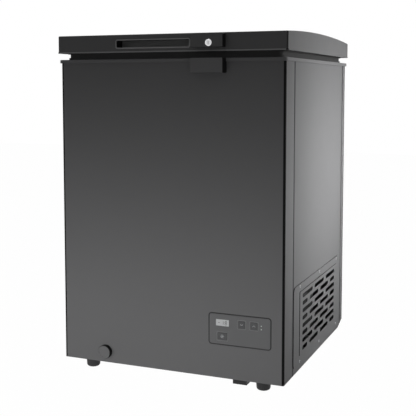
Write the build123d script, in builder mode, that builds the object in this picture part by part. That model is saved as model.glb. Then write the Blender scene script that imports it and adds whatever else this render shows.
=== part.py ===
"""A small upright-fronted chest freezer: cabinet, top-hinged lid, cam lock, controls and cooling circuit.

Millimetres. +Z is up, the front faces -Y, and the origin is on the floor under the middle of the cabinet.
"""

import os

from build123d import *

# Cabinet
CABINET_W = 584.0
CABINET_D = 572.0
BASE_Z = 27.0
SHEET = 1.0
SHELL_CORNER_R = 3.0
RIM_TOP = 783.7
RIM_PLATE = 5.0
RIM_SKIRT = 8.3
RIM_REACH = 4.0
RIM_CORNER_R = 6.0
RIM_EDGE_R = 1.5
CREASE_FRONT = 69.0
CREASE_BACK = 30.0
CREASE_W = 4.0
CREASE_DEPTH = 0.7
HEEL_CUT_Y = 50.0
HEEL_CUT_Z = 15.0

# Insulation and inner tank
WALL = 58.0
LINER_SHEET = 1.0
LINER_CORNER_R = 28.0
TANK_FLOOR_Z = 92.0
STEP_Z = 302.0
STEP_X = 34.0
SLEEVE = 0.3
LEAST_R = 1.0
NEAR = 1.0

# Machine compartment, behind the side grille
BAY_X = 92.0
BAY_TOP = 246.0

# Lid
LID_REACH = 6.0
LID_SKIRT_Z = 799.3
LID_FRONT_TOP = 842.0
LID_PEAK = 849.76
LID_PEAK_Y = -70.0
LID_BACK_TOP = 839.5
LID_WALL = 2.5
LID_CORNER_R = 4.0
LID_EDGE_R = 2.5
LID_LIP = 1.0
LID_LIP_H = 3.0
LINER_PAN_Z = 801.0
LINER_PAN_R = 4.0
LINER_PAN_SHEET = 1.5
LID_BULGE_Z = 791.0
LID_BULGE_INSET = 62.0
LID_BULGE_R = 24.0
LID_BULGE_EDGE_R = 2.0

# Lid seal
SEAL_INSET = 15.0
SEAL_FLANGE_W = 18.0
SEAL_NECK_W = 10.0
SEAL_MAGNET_W = 15.0
SEAL_FLANGE_H = 3.5
SEAL_MAGNET_H = 5.0
SEAL_CORNER_R = 12.0
SEAT_GAP = 0.3

# Grip recess in the lid front
GRIP_LEFT = -133.0
GRIP_BESIDE_LOCK = 8.0
GRIP_BOTTOM = 811.0
GRIP_TOP = 828.0
GRIP_DEPTH = 30.0
GRIP_WALL = 1.5
GRIP_CORNER_R = 3.0
GRIP_LIP = 1.2
GRIP_EDGE_R = 0.5

# Lock block on the lid and keeper block on the cabinet
FRONT_REACH = 28.0
LOCK_RING_PROUD = 1.5
BLOCK_BESIDE_LOCK = 34.5
BLOCK_EDGE_R = 2.0
BLOCK_WALL = 3.0
LOCK_HOUSING_BOTTOM = 808.0
LOCK_HOUSING_TOP = 840.0
KEEPER_BOTTOM = 749.0
LOCK_X = 114.5
LOCK_Z = 818.0
LOCK_RING_R = 8.0
LOCK_RING_EDGE = 0.6
LOCK_BARREL_R = 6.0
LOCK_BARREL_SUNK = 0.4
RUNNING = 0.05
CAM_LENGTH = 41.0
CAM_W = 10.0
CAM_T = 2.5
CAM_SETBACK = 9.0
CAM_ROOM = 1.5
CAM_HUB_R = 2.5
CAM_HUB_L = 2.5
KEEPER_POCKET_Z = 762.0
KEY_SLOT_L = 7.0
KEY_SLOT_W = 1.6
KEY_SLOT_DEPTH = 6.0

# Lid hinges
HINGE_X = 185.0
HINGE_Z = 791.5
BARREL_R = 8.0
PIN_R = 4.0
EAR_W = 13.0
KNUCKLE_W = 26.0
HINGE_GAP = 0.5
LEAF_T = 2.5
LEAF_W = 84.0
LEAF_H = 58.0
LID_LEAF_H = 26.0
LID_LEAF_LIFT = 8.0
LEAF_MARGIN = 10.0
LEAF_R = 4.0
HINGE_SCREW_R = 4.0
HINGE_SCREW_H = 1.8
SCREW_EDGE = 0.8
HINGE_SCREW_PITCH = 66.0

# Control panel on the front
PANEL_X = 183.0
PANEL_Z = 145.5
PANEL_W = 157.0
PANEL_H = 77.0
PANEL_R = 8.0
PANEL_PROUD = 1.4
PANEL_EDGE_R = 0.6
BEZEL_W = 2.4
PANEL_FIT = 0.3
BOX_DEPTH = 30.0
BOX_WALL = 2.0
PILLAR_R = 4.0
PILLAR_INSET = 8.0
BOARD_T = 1.6
BOARD_BACK = 17.0
BOARD_MARGIN = 1.0
SWITCH_W = 6.0
SWITCH_H = 4.0
SWITCH_GAP = 0.1
DISPLAY_X = -43.0
DISPLAY_DZ = 15.5
DISPLAY_W = 33.0
DISPLAY_H = 16.0
KEY_FIT = 0.3
KEY_TRAVEL = 0.8
KEY_PROUD = 0.4
KEY_CORNER_R = 2.5
KEY_EDGE_R = 0.5
KEY_STEM_R = 2.0
KEY_FLANGE = 0.5
KEY_FLANGE_T = 1.5
LED_R = 1.6
LED_X = 54.0
LED_DZ = (17.5, 9.5)
KEYS = {
    "power_key": (-43.0, -17.0, 24.0, 17.0),
    "down_key": (5.5, 15.5, 17.0, 17.0),
    "up_key": (36.0, 15.5, 17.0, 17.0),
}

# Defrost drain
DRAIN_X = -174.0
DRAIN_Z = 54.7
DRAIN_BORE_R = 9.0
DRAIN_PIPE_R = 11.0
DRAIN_FLANGE_R = 14.5
DRAIN_FLANGE_T = 2.0
DRAIN_INSIDE_Y = 150.0
DRAIN_BEND_R = 20.0
CAP_R = 17.0
CAP_DEPTH = 12.0
CAP_WALL = 2.0
CAP_EDGE_R = 2.0
CAP_DISH_R = 12.0
CAP_DISH_DEPTH = 0.6
STOPPER_FIT = 0.3
STOPPER_LENGTH = 14.0
INNER_PLUG_HEAD_R = 17.0
INNER_PLUG_HEAD_T = 4.0
INNER_PLUG_EDGE_R = 1.5
INNER_PLUG_LENGTH = 7.0
PLUG_TAB_L = 17.0
PLUG_TAB_W = 5.0
PLUG_TAB_H = 9.0

# Side grille
GRILLE_Y = 6.0
GRILLE_W = 440.0
GRILLE_BOTTOM = 42.0
GRILLE_TOP = 241.0
GRILLE_T = 1.5
GRILLE_R = 14.0
GRILLE_FIELD_Y = 17.0
GRILLE_FIELD_W = 366.0
GRILLE_FIELD_BOTTOM = 62.0
GRILLE_FIELD_TOP = 222.0
GRILLE_FIELD_RISE = 1.2
GRILLE_FIELD_R = 4.0
GRILLE_FIELD_TAPER = 30.0
SLOT_Y = 15.0
SLOT_SPAN = 314.0
SLOT_GAP = 23.0
SLOT_H = 10.0
SLOT_TRIM = 10.0
SLOT_ROWS = 8
SLOT_PITCH = 18.7
SLOT_LOW_Z = 76.0
GRILLE_SCREW_Y = 20.0
GRILLE_SCREW_PITCH = 182.0
GRILLE_SCREW_INSET = 6.5
SCREW_R = 3.2
SCREW_HEAD_H = 1.6

# Feet
FOOT_X = 231.0
FOOT_INSET = 36.0
FOOT_TOP_R = 18.0
FOOT_SOLE_R = 16.5
FOOT_H = 23.0
FOOT_SOLE_EDGE_R = 7.0
STEM_R = 5.0
STEM_TOP = 56.0
SOCKET_R = 10.0
SOCKET_H = 22.0

# Compressor and its tray
TRAY_SHEET = 2.0
SKID_X = 179.0
SKID_W = 35.0
SKID_DROP = 15.0
SKID_INSET = 12.0
COMPRESSOR_X = 192.0
COMPRESSOR_Y = 70.0
COMPRESSOR_R = 68.0
COMPRESSOR_Z = 50.0
COMPRESSOR_H = 150.0
COMPRESSOR_FOOT_R = 16.0
COMPRESSOR_CROWN_R = 44.0
SEAM_Z = 60.0
SEAM_H = 5.0
SEAM_PROUD = 3.0
FOOT_PLATE_L = 168.0
FOOT_PLATE_W = 120.0
FOOT_PLATE_T = 3.0
FOOT_PLATE_R = 14.0
GROMMET_R = 12.0
GROMMET_PITCH_X = 140.0
GROMMET_PITCH_Y = 92.0
STUD_R = 3.0
STUD_ROOM = 1.0
STUD_HEIGHT = 8.0
NUT_R = 6.0
NUT_H = 5.0
STARTER_W = 58.0
STARTER_H = 50.0
STARTER_T = 34.0
STARTER_R = 6.0
STARTER_EDGE_R = 3.0
STARTER_LIFT = 95.0
PIPE_R = 4.0
PIPE_BEND_R = 20.0
SUCTION_X = -20.0
SUCTION_LIFT = 90.0
SUCTION_RUN = 40.0
DISCHARGE_X = 25.0
DISCHARGE_LIFT = 80.0
DISCHARGE_RUN = 60.0

# Filter dryer and cable gland
DRYER_X = 150.0
DRYER_Y = -110.0
DRYER_R = 9.5
DRYER_LOW = 120.0
DRYER_H = 90.0
DRYER_NECK = 12.0
DRYER_TAIL = 14.0
GLAND_INSET = 30.0
GLAND_R = 8.0
GLAND_FLANGE_R = 11.0
GLAND_FLANGE_T = 2.0
GLAND_LENGTH = 14.0
CABLE_R = 4.0

# Coils in the insulation
COIL_R = 4.0
COIL_ROOM = 9.0
EVAPORATOR_TURNS = 4
EVAPORATOR_PITCH = 72.0
EVAPORATOR_LOW = 430.0
CONDENSER_TURNS = 2
CONDENSER_PITCH = 120.0
CONDENSER_LOW = 470.0
COIL_BEND_R = 36.0

# Wire basket hung on the rim
BASKET_END_CLEAR = 8.5
BASKET_L = 200.0
BASKET_DROP = 200.0
BASKET_WIRE_R = 1.6
BASKET_FRAME_R = 2.5
BASKET_CLEAR = 10.0
BASKET_TAPER = 14.0
BASKET_BEND_R = 16.0
BASKET_CROSS_WIRES = 7
BASKET_LONG_WIRES = 11
CROSS_WIRE_INSET = 32.0
LONG_WIRE_INSET = 48.0
BASKET_SINK = 2.0
HOOK_TAIL = 10.0
HOOK_REST = 10.0
WELD_GAP = 0.1

# Derived planes
HALF_W = CABINET_W / 2
HALF_D = CABINET_D / 2
FRONT_Y = -HALF_D
BACK_Y = HALF_D
SHELL_TOP = RIM_TOP - RIM_PLATE
SHELL_IN_W = CABINET_W - 2 * SHEET
SHELL_IN_D = CABINET_D - 2 * SHEET
TANK_W = CABINET_W - 2 * WALL
TANK_D = CABINET_D - 2 * WALL
LID_W = CABINET_W + 2 * LID_REACH
LID_D = CABINET_D + 2 * LID_REACH
LID_FRONT_Y = FRONT_Y - LID_REACH
LID_BACK_Y = BACK_Y + LID_REACH
BLOCK_FRONT_Y = FRONT_Y - FRONT_REACH + LOCK_RING_PROUD
HINGE_Y = BACK_Y + FRONT_REACH - BARREL_R
CAM_Y = BLOCK_FRONT_Y + CAM_SETBACK
FOOT_Y = HALF_D - FOOT_INSET
FLOOR_TOP = BASE_Z + SHEET
BLOCK_LEFT = LOCK_X - CAM_LENGTH - CAM_ROOM - BLOCK_WALL
BLOCK_W = LOCK_X + BLOCK_BESIDE_LOCK - BLOCK_LEFT
BLOCK_X = BLOCK_LEFT + BLOCK_W / 2
GRIP_RIGHT = BLOCK_LEFT - GRIP_BESIDE_LOCK - 2 * GRIP_WALL
BASKET_X = TANK_W / 2 - LINER_SHEET - BASKET_END_CLEAR - BASKET_FRAME_R - BASKET_L / 2


def export(part, name):
    """Labels a finished piece and writes it as its own STEP file."""
    part.label = name
    export_step(part, f"parts/{name}.step")


def front_plane(y):
    """A plane facing the front at depth y, with X to the right and Y of the plane up."""
    return Plane(origin=(0, y, 0), x_dir=(1, 0, 0), z_dir=(0, -1, 0))


def side_plane(x):
    """A plane facing the right at width x, with the plane's X towards the back and Y up."""
    return Plane(origin=(x, 0, 0), x_dir=(0, 1, 0), z_dir=(1, 0, 0))


def heel_height(y):
    """Height of the slanted heel's lower side at depth y."""
    return BASE_Z + HEEL_CUT_Z * (y - BACK_Y + HEEL_CUT_Y) / HEEL_CUT_Y


def heel_wedge(lift):
    """The wedge below the slanted heel, raised by lift, across the whole width."""
    start = BACK_Y - HEEL_CUT_Y * (1 + lift / HEEL_CUT_Z)
    with BuildPart() as wedge:
        with BuildSketch(Plane.YZ):
            with BuildLine():
                Polyline(
                    (start, BASE_Z),
                    (BACK_Y, BASE_Z),
                    (BACK_Y, BASE_Z + HEEL_CUT_Z + lift),
                    close=True,
                )
            make_face()
        extrude(amount=HALF_W, both=True)
    return wedge.part


def heel_sheet(left, right, sheet):
    """A sheet folded up along the slanted heel, from the floor's back edge to the back panel."""
    front_y = BACK_Y - HEEL_CUT_Y - sheet
    back_y = BACK_Y - SHEET - SLEEVE
    with BuildPart() as slope:
        with BuildSketch(Plane.YZ.offset(left)):
            with BuildLine():
                Polyline(
                    (front_y, BASE_Z),
                    (BACK_Y - HEEL_CUT_Y, BASE_Z),
                    (back_y, heel_height(back_y)),
                    (back_y, heel_height(back_y) + sheet),
                    (BACK_Y - HEEL_CUT_Y, BASE_Z + sheet),
                    (front_y, BASE_Z + sheet),
                    close=True,
                )
            make_face()
        extrude(amount=right - left)
    return slope.part


def build_outer_shell():
    """The folded sheet that makes the front and both sides, open at the back, the top and the bottom."""
    bay_mid = (GRILLE_FIELD_BOTTOM + GRILLE_FIELD_TOP) / 2
    heel = heel_wedge(0)
    with BuildPart() as shell:
        with BuildSketch(Plane.XY.offset(BASE_Z)):
            RectangleRounded(CABINET_W, CABINET_D, SHELL_CORNER_R)
            RectangleRounded(SHELL_IN_W, SHELL_IN_D, SHELL_CORNER_R - SHEET, mode=Mode.SUBTRACT)
            with Locations((0, BACK_Y)):
                Rectangle(CABINET_W, 2 * SHELL_CORNER_R, mode=Mode.SUBTRACT)
        extrude(amount=SHELL_TOP - BASE_Z)
        # Vertical creases in both sides, near the front and the back
        for side in (-1, 1):
            with BuildSketch(Plane.XY.offset(BASE_Z)):
                for crease_y in (FRONT_Y + CREASE_FRONT, BACK_Y - CREASE_BACK):
                    with Locations((side * HALF_W, crease_y)):
                        Rectangle(2 * CREASE_DEPTH, CREASE_W)
            extrude(amount=SHELL_TOP - BASE_Z, mode=Mode.SUBTRACT)
        # The lower back corner of each side is cut off on the slant
        add(heel, mode=Mode.SUBTRACT)
        # Openings for the grille, the control panel and the drain
        with BuildSketch(side_plane(HALF_W)):
            with Locations((GRILLE_FIELD_Y, bay_mid)):
                Rectangle(GRILLE_FIELD_W, GRILLE_FIELD_TOP - GRILLE_FIELD_BOTTOM)
        extrude(amount=-2 * SHELL_CORNER_R, mode=Mode.SUBTRACT)
        with BuildSketch(front_plane(FRONT_Y)):
            with Locations((PANEL_X, PANEL_Z)):
                box_w, box_h = control_box_size()
                Rectangle(box_w + 2 * PANEL_FIT, box_h + 2 * PANEL_FIT)
            with Locations((DRAIN_X, DRAIN_Z)):
                Circle(DRAIN_PIPE_R + SLEEVE)
        extrude(amount=-2 * SHELL_CORNER_R, mode=Mode.SUBTRACT)
    return shell.part


def build_back_panel():
    """The flat back sheet with turned-in edges and a round cable hole."""
    with BuildPart() as back:
        with BuildSketch(Plane.XY.offset(BASE_Z + HEEL_CUT_Z)):
            RectangleRounded(CABINET_W, CABINET_D, SHELL_CORNER_R)
            RectangleRounded(SHELL_IN_W, SHELL_IN_D, SHELL_CORNER_R - SHEET, mode=Mode.SUBTRACT)
            with Locations((0, BACK_Y)):
                Rectangle(CABINET_W, 2 * SHELL_CORNER_R, mode=Mode.INTERSECT)
        extrude(amount=SHELL_TOP - BASE_Z - HEEL_CUT_Z)
        with BuildSketch(Plane.XZ.offset(-BACK_Y)):
            with Locations((BAY_X + GLAND_INSET, GRILLE_FIELD_BOTTOM)):
                Circle(GLAND_R)
        extrude(amount=SHELL_CORNER_R, both=True, mode=Mode.SUBTRACT)
    return back.part


def build_cable_gland():
    """The rubber bush in the back panel that a supply lead passes through."""
    gland_axis = Plane(origin=(BAY_X + GLAND_INSET, BACK_Y, GRILLE_FIELD_BOTTOM), z_dir=(0, 1, 0))
    with BuildPart() as gland:
        with BuildSketch(gland_axis.offset(-SHEET - GLAND_LENGTH / 2)):
            Circle(GLAND_R - RUNNING)
        extrude(amount=GLAND_LENGTH)
        with BuildSketch(gland_axis):
            Circle(GLAND_FLANGE_R)
        extrude(amount=GLAND_FLANGE_T)
        with BuildSketch(gland_axis.offset(-GLAND_LENGTH)):
            Circle(CABLE_R)
        extrude(amount=2 * GLAND_LENGTH, mode=Mode.SUBTRACT)
    return gland.part


def build_base_pan():
    """The floor sheet under the insulated part, left of the machine bay, folded up along the heel."""
    left, right = -SHELL_IN_W / 2 + SLEEVE, BAY_X
    front, back = -SHELL_IN_D / 2 + SLEEVE, BACK_Y - HEEL_CUT_Y
    slope = heel_sheet(left + SHELL_CORNER_R, right, SHEET)
    with BuildPart() as pan:
        with BuildSketch(Plane.XY.offset(BASE_Z)):
            with Locations(((left + right) / 2, (front + back) / 2)):
                RectangleRounded(right - left, back - front, SHELL_CORNER_R)
        extrude(amount=SHEET)
        add(slope)
        with Locations(*[(x, y, BASE_Z) for x, y in foot_places().values() if x < 0]):
            Hole(STEM_R + SLEEVE, depth=4 * SHEET)
    return pan.part


def foot_places():
    """The four foot centres: the back pair stands in front of the slanted heel."""
    back_y = FOOT_Y - HEEL_CUT_Y
    return {
        "front_left": (-FOOT_X, -FOOT_Y),
        "front_right": (FOOT_X, -FOOT_Y),
        "back_left": (-FOOT_X, back_y),
        "back_right": (FOOT_X, back_y),
    }


def build_compressor_tray():
    """The folded steel tray that closes the machine bay below and carries the compressor."""
    left, right = BAY_X + SLEEVE, SHELL_IN_W / 2 - SLEEVE
    front, back = -SHELL_IN_D / 2 + SLEEVE, BACK_Y - HEEL_CUT_Y
    skid_front = front + SKID_INSET
    slope = heel_sheet(left, right - SHELL_CORNER_R, TRAY_SHEET)
    with BuildPart() as tray:
        with BuildSketch(Plane.XY.offset(BASE_Z)):
            with Locations(((left + right) / 2, (front + back) / 2)):
                RectangleRounded(right - left, back - front, SHELL_CORNER_R)
        extrude(amount=TRAY_SHEET)
        add(slope)
        # A folded runner along the underside, whose front end shows below the cabinet
        with BuildSketch(Plane.XY.offset(BASE_Z)):
            with Locations((SKID_X, (skid_front + back) / 2)):
                Rectangle(SKID_W, back - skid_front)
        extrude(amount=-SKID_DROP)
        with BuildSketch(Plane.XY.offset(BASE_Z)):
            with Locations((SKID_X, (skid_front + back) / 2 + TRAY_SHEET)):
                Rectangle(SKID_W - 2 * TRAY_SHEET, back - skid_front)
        extrude(amount=-SKID_DROP + TRAY_SHEET, mode=Mode.SUBTRACT)
        with Locations(*[(x, y, BASE_Z) for x, y in foot_places().values() if x > 0]):
            Hole(STEM_R + SLEEVE, depth=2 * TRAY_SHEET)
        with Locations((COMPRESSOR_X, COMPRESSOR_Y, BASE_Z)):
            with GridLocations(GROMMET_PITCH_X, GROMMET_PITCH_Y, 2, 2):
                Hole(STUD_R + RUNNING, depth=2 * TRAY_SHEET)
    return tray.part


def build_bay_partition():
    """The folded sheet that lines the machine bay: a wall on its left and a ceiling."""
    depth = SHELL_IN_D - 2 * SHELL_CORNER_R - 2 * SLEEVE
    heel = heel_wedge(TRAY_SHEET + SLEEVE)
    with BuildPart() as partition:
        with BuildSketch(Plane.XZ):
            with BuildLine():
                Polyline(
                    (BAY_X, FLOOR_TOP + TRAY_SHEET),
                    (BAY_X, BAY_TOP + SHEET),
                    (SHELL_IN_W / 2 - SLEEVE, BAY_TOP + SHEET),
                    (SHELL_IN_W / 2 - SLEEVE, BAY_TOP),
                    (BAY_X + SHEET, BAY_TOP),
                    (BAY_X + SHEET, FLOOR_TOP + TRAY_SHEET),
                    close=True,
                )
            make_face()
        extrude(amount=depth / 2, both=True)
        add(heel, mode=Mode.SUBTRACT)
    return partition.part


def stepped_tank(inset, top):
    """The tank's L-shaped block, which steps up over the machine bay, drawn in by inset on every side."""
    half_w = TANK_W / 2 - inset
    with BuildPart() as block:
        with BuildSketch(Plane.XZ):
            with BuildLine():
                Polyline(
                    (-half_w, top),
                    (half_w, top),
                    (half_w, STEP_Z + inset),
                    (STEP_X - inset, STEP_Z + inset),
                    (STEP_X - inset, TANK_FLOOR_Z + inset),
                    (-half_w, TANK_FLOOR_Z + inset),
                    close=True,
                )
            make_face()
        extrude(amount=TANK_D / 2 - inset, both=True)
        corners = [
            edge
            for edge in block.edges().filter_by(Axis.Z)
            if abs(abs(edge.center().X) - half_w) < inset + NEAR
        ]
        fillet(corners, LINER_CORNER_R - inset)
    return block.part


def build_inner_liner():
    """The sheet-metal tank, open at the top, with a hole in its low floor for the drain."""
    outside = stepped_tank(0, SHELL_TOP)
    inside = stepped_tank(LINER_SHEET, SHELL_TOP + WALL)
    with BuildPart() as liner:
        add(outside)
        add(inside, mode=Mode.SUBTRACT)
        with Locations((DRAIN_X, -DRAIN_INSIDE_Y, TANK_FLOOR_Z)):
            Hole(DRAIN_BORE_R, depth=4 * LINER_SHEET)
    return liner.part


def ring_sketch(outer_w, outer_d, outer_r, band):
    """A rounded rectangular ring of even width, drawn in the current sketch."""
    RectangleRounded(outer_w, outer_d, outer_r)
    inner_r = max(outer_r - band, LEAST_R)
    RectangleRounded(outer_w - 2 * band, outer_d - 2 * band, inner_r, mode=Mode.SUBTRACT)


def build_top_rim():
    """The moulded frame that joins the shell to the tank and carries the lid seal."""
    with BuildPart() as rim:
        with BuildSketch(Plane.XY.offset(SHELL_TOP)):
            RectangleRounded(CABINET_W + 2 * RIM_REACH, CABINET_D + 2 * RIM_REACH, RIM_CORNER_R)
            inset = 2 * LINER_SHEET
            RectangleRounded(
                TANK_W - inset, TANK_D - inset, LINER_CORNER_R - LINER_SHEET, mode=Mode.SUBTRACT
            )
        extrude(amount=RIM_PLATE)
        with BuildSketch(Plane.XY.offset(RIM_TOP - RIM_SKIRT)):
            ring_sketch(
                CABINET_W + 2 * RIM_REACH,
                CABINET_D + 2 * RIM_REACH,
                RIM_CORNER_R,
                RIM_REACH - SLEEVE,
            )
        extrude(amount=RIM_SKIRT - RIM_PLATE)
        fillet(rim.edges().group_by(Axis.Z)[-1].filter_by(outside_tank), RIM_EDGE_R)
    return rim.part


def outside_tank(edge):
    """True for an edge that lies outside the tank's opening."""
    centre = edge.center()
    return abs(centre.X) > TANK_W / 2 + NEAR or abs(centre.Y) > TANK_D / 2 + NEAR


def coil_path(half_w, half_d, low, pitch, turns):
    """Corner points of a coil round the tank: level on three sides, and climbing along the fourth."""
    points = [(-half_w, 0, low)]
    for turn in range(turns):
        level = low + turn * pitch
        points += [
            (-half_w, -half_d, level),
            (half_w, -half_d, level),
            (half_w, half_d, level),
            (-half_w, half_d, level + pitch),
        ]
    points.append((-half_w, 0, low + turns * pitch))
    return points


def build_coil(half_w, half_d, bend, low, pitch, turns):
    """A tube wound round the tank, swept along straight runs joined by bends."""
    points = coil_path(half_w, half_d, low, pitch, turns)
    with BuildPart() as coil:
        with BuildLine() as route:
            FilletPolyline(*points, radius=bend)
        start = Plane(origin=points[0], z_dir=route.line % 0)
        with BuildSketch(start):
            Circle(COIL_R)
        sweep()
    return coil.part


def evaporator_size():
    """Half width, half depth and bend of the evaporator's centre line, which lies against the tank."""
    reach = COIL_R + SLEEVE
    return TANK_W / 2 + reach, TANK_D / 2 + reach, LINER_CORNER_R + reach


def condenser_size():
    """Half width, half depth and bend of the condenser's centre line, which lies against the shell."""
    reach = SHEET + COIL_R + SLEEVE
    return HALF_W - reach, HALF_D - reach, COIL_BEND_R


def build_foam():
    """The foam that fills the walls, with room for all that lies in them."""
    top = SHELL_TOP
    fit = SLEEVE
    inside = SHEET + fit
    evaporator_w, evaporator_d, _ = evaporator_size()
    box_w, box_h = control_box_size()
    tank = stepped_tank(-fit, top + WALL)
    drain = drain_run(DRAIN_PIPE_R + fit, FRONT_Y, TANK_FLOOR_Z + WALL)
    heel = heel_wedge(TRAY_SHEET + SLEEVE)
    with BuildPart() as foam:
        with BuildSketch(Plane.XY.offset(FLOOR_TOP)):
            RectangleRounded(CABINET_W - 2 * inside, CABINET_D - 2 * inside, SHELL_CORNER_R)
        extrude(amount=top - FLOOR_TOP)
        # Tank, with a pocket for the evaporator round it
        add(tank, mode=Mode.SUBTRACT)
        with BuildSketch(Plane.XY.offset(EVAPORATOR_LOW - COIL_ROOM)):
            RectangleRounded(
                2 * (evaporator_w + COIL_ROOM), 2 * (evaporator_d + COIL_ROOM), LINER_CORNER_R
            )
        extrude(amount=EVAPORATOR_TURNS * EVAPORATOR_PITCH + 2 * COIL_ROOM, mode=Mode.SUBTRACT)
        # Condenser channel round the outside
        condenser_w, condenser_d, _ = condenser_size()
        with BuildSketch(Plane.XY.offset(CONDENSER_LOW - COIL_ROOM)):
            Rectangle(2 * CABINET_W, 2 * CABINET_D)
            RectangleRounded(
                2 * (condenser_w - COIL_ROOM),
                2 * (condenser_d - COIL_ROOM),
                LINER_CORNER_R,
                mode=Mode.SUBTRACT,
            )
        extrude(amount=CONDENSER_TURNS * CONDENSER_PITCH + 2 * COIL_ROOM, mode=Mode.SUBTRACT)
        # Machine bay
        with BuildSketch(Plane.XZ):
            with Locations((BAY_X - fit, FLOOR_TOP)):
                Rectangle(CABINET_W, BAY_TOP + SHEET + fit - FLOOR_TOP, align=(Align.MIN, Align.MIN))
        extrude(amount=CABINET_D, both=True, mode=Mode.SUBTRACT)
        # Control box, drain pipe, foot sockets and the slanted heel
        with BuildSketch(front_plane(FRONT_Y)):
            with Locations((PANEL_X, PANEL_Z)):
                Rectangle(box_w + 2 * fit, box_h + 2 * fit)
        extrude(amount=-BOX_DEPTH - 2 * fit, mode=Mode.SUBTRACT)
        add(drain, mode=Mode.SUBTRACT)
        with Locations(*[(x, y, FLOOR_TOP) for x, y in foot_places().values() if x < 0]):
            Cylinder(
                SOCKET_R + fit,
                STEM_TOP - FLOOR_TOP + 2 * fit,
                align=(Align.CENTER, Align.CENTER, Align.MIN),
                mode=Mode.SUBTRACT,
            )
        add(heel, mode=Mode.SUBTRACT)
    return foam.part


def drain_run(radius, front_y, top_z):
    """A round bar along the drain's route: down from the tank floor and forward to the front."""
    points = [
        (DRAIN_X, -DRAIN_INSIDE_Y, top_z),
        (DRAIN_X, -DRAIN_INSIDE_Y, DRAIN_Z),
        (DRAIN_X, front_y, DRAIN_Z),
    ]
    with BuildPart() as run:
        with BuildLine():
            FilletPolyline(*points, radius=DRAIN_BEND_R)
        with BuildSketch(Plane(origin=points[0], z_dir=(0, 0, -1))):
            Circle(radius)
        sweep()
    return run.part


def build_drain_pipe():
    """The pipe that carries meltwater from the tank floor to the spout on the front."""
    outside = drain_run(DRAIN_PIPE_R, FRONT_Y, TANK_FLOOR_Z)
    bore = drain_run(DRAIN_BORE_R, FRONT_Y - DRAIN_PIPE_R, TANK_FLOOR_Z + WALL)
    with BuildPart() as pipe:
        add(outside)
        add(bore, mode=Mode.SUBTRACT)
    return pipe.part


def build_drain_spout():
    """The flanged ring on the front that the drain cap closes."""
    with BuildPart() as spout:
        with BuildSketch(front_plane(FRONT_Y)):
            with Locations((DRAIN_X, DRAIN_Z)):
                Circle(DRAIN_FLANGE_R)
                Circle(DRAIN_BORE_R, mode=Mode.SUBTRACT)
        extrude(amount=DRAIN_FLANGE_T)
    return spout.part


def build_drain_cap():
    """The round cap outside: a cup over the spout's flange with a stopper that fills the bore."""
    with BuildPart() as cap:
        with BuildSketch(front_plane(FRONT_Y - SEAT_GAP)):
            with Locations((DRAIN_X, DRAIN_Z)):
                Circle(CAP_R)
        extrude(amount=CAP_DEPTH)
        fillet(cap.edges().group_by(Axis.Y)[0], CAP_EDGE_R)
        with BuildSketch(front_plane(FRONT_Y - SEAT_GAP)):
            with Locations((DRAIN_X, DRAIN_Z)):
                Circle(CAP_R - CAP_WALL)
        extrude(amount=CAP_DEPTH - CAP_WALL, mode=Mode.SUBTRACT)
        with BuildSketch(front_plane(FRONT_Y - SEAT_GAP - CAP_DEPTH + CAP_WALL)):
            with Locations((DRAIN_X, DRAIN_Z)):
                Circle(DRAIN_BORE_R - STOPPER_FIT)
        extrude(amount=-STOPPER_LENGTH - CAP_DEPTH)
        # A shallow dish in the face
        with BuildSketch(front_plane(FRONT_Y - SEAT_GAP - CAP_DEPTH)):
            with Locations((DRAIN_X, DRAIN_Z)):
                Circle(CAP_DISH_R)
        extrude(amount=-CAP_DISH_DEPTH, mode=Mode.SUBTRACT)
    return cap.part


def build_inner_plug():
    """The rubber plug in the tank floor, with a finger tab."""
    floor = TANK_FLOOR_Z + LINER_SHEET
    place = (DRAIN_X, -DRAIN_INSIDE_Y)
    with BuildPart() as plug:
        with BuildSketch(Plane.XY.offset(floor + SEAT_GAP)):
            with Locations(place):
                Circle(INNER_PLUG_HEAD_R)
        extrude(amount=INNER_PLUG_HEAD_T)
        fillet(plug.edges().group_by(Axis.Z)[-1], INNER_PLUG_EDGE_R)
        with BuildSketch(Plane.XY.offset(floor + SEAT_GAP)):
            with Locations(place):
                Circle(DRAIN_BORE_R - STOPPER_FIT)
        extrude(amount=-INNER_PLUG_LENGTH)
        with BuildSketch(Plane.XY.offset(floor + INNER_PLUG_HEAD_T)):
            with Locations(place):
                SlotOverall(PLUG_TAB_L, PLUG_TAB_W)
        extrude(amount=PLUG_TAB_H)
    return plug.part


def control_box_size():
    """Width and height of the control box, which the panel frame overlaps."""
    return PANEL_W - 4 * BEZEL_W, PANEL_H - 4 * BEZEL_W


def build_panel_frame():
    """The raised frame round the control panel, which clips over the opening in the front."""
    with BuildPart() as frame:
        with BuildSketch(front_plane(FRONT_Y)):
            with Locations((PANEL_X, PANEL_Z)):
                ring_sketch(PANEL_W, PANEL_H, PANEL_R, BEZEL_W)
        extrude(amount=PANEL_PROUD)
        fillet(frame.edges().group_by(Axis.Y)[0], PANEL_EDGE_R)
    return frame.part


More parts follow.
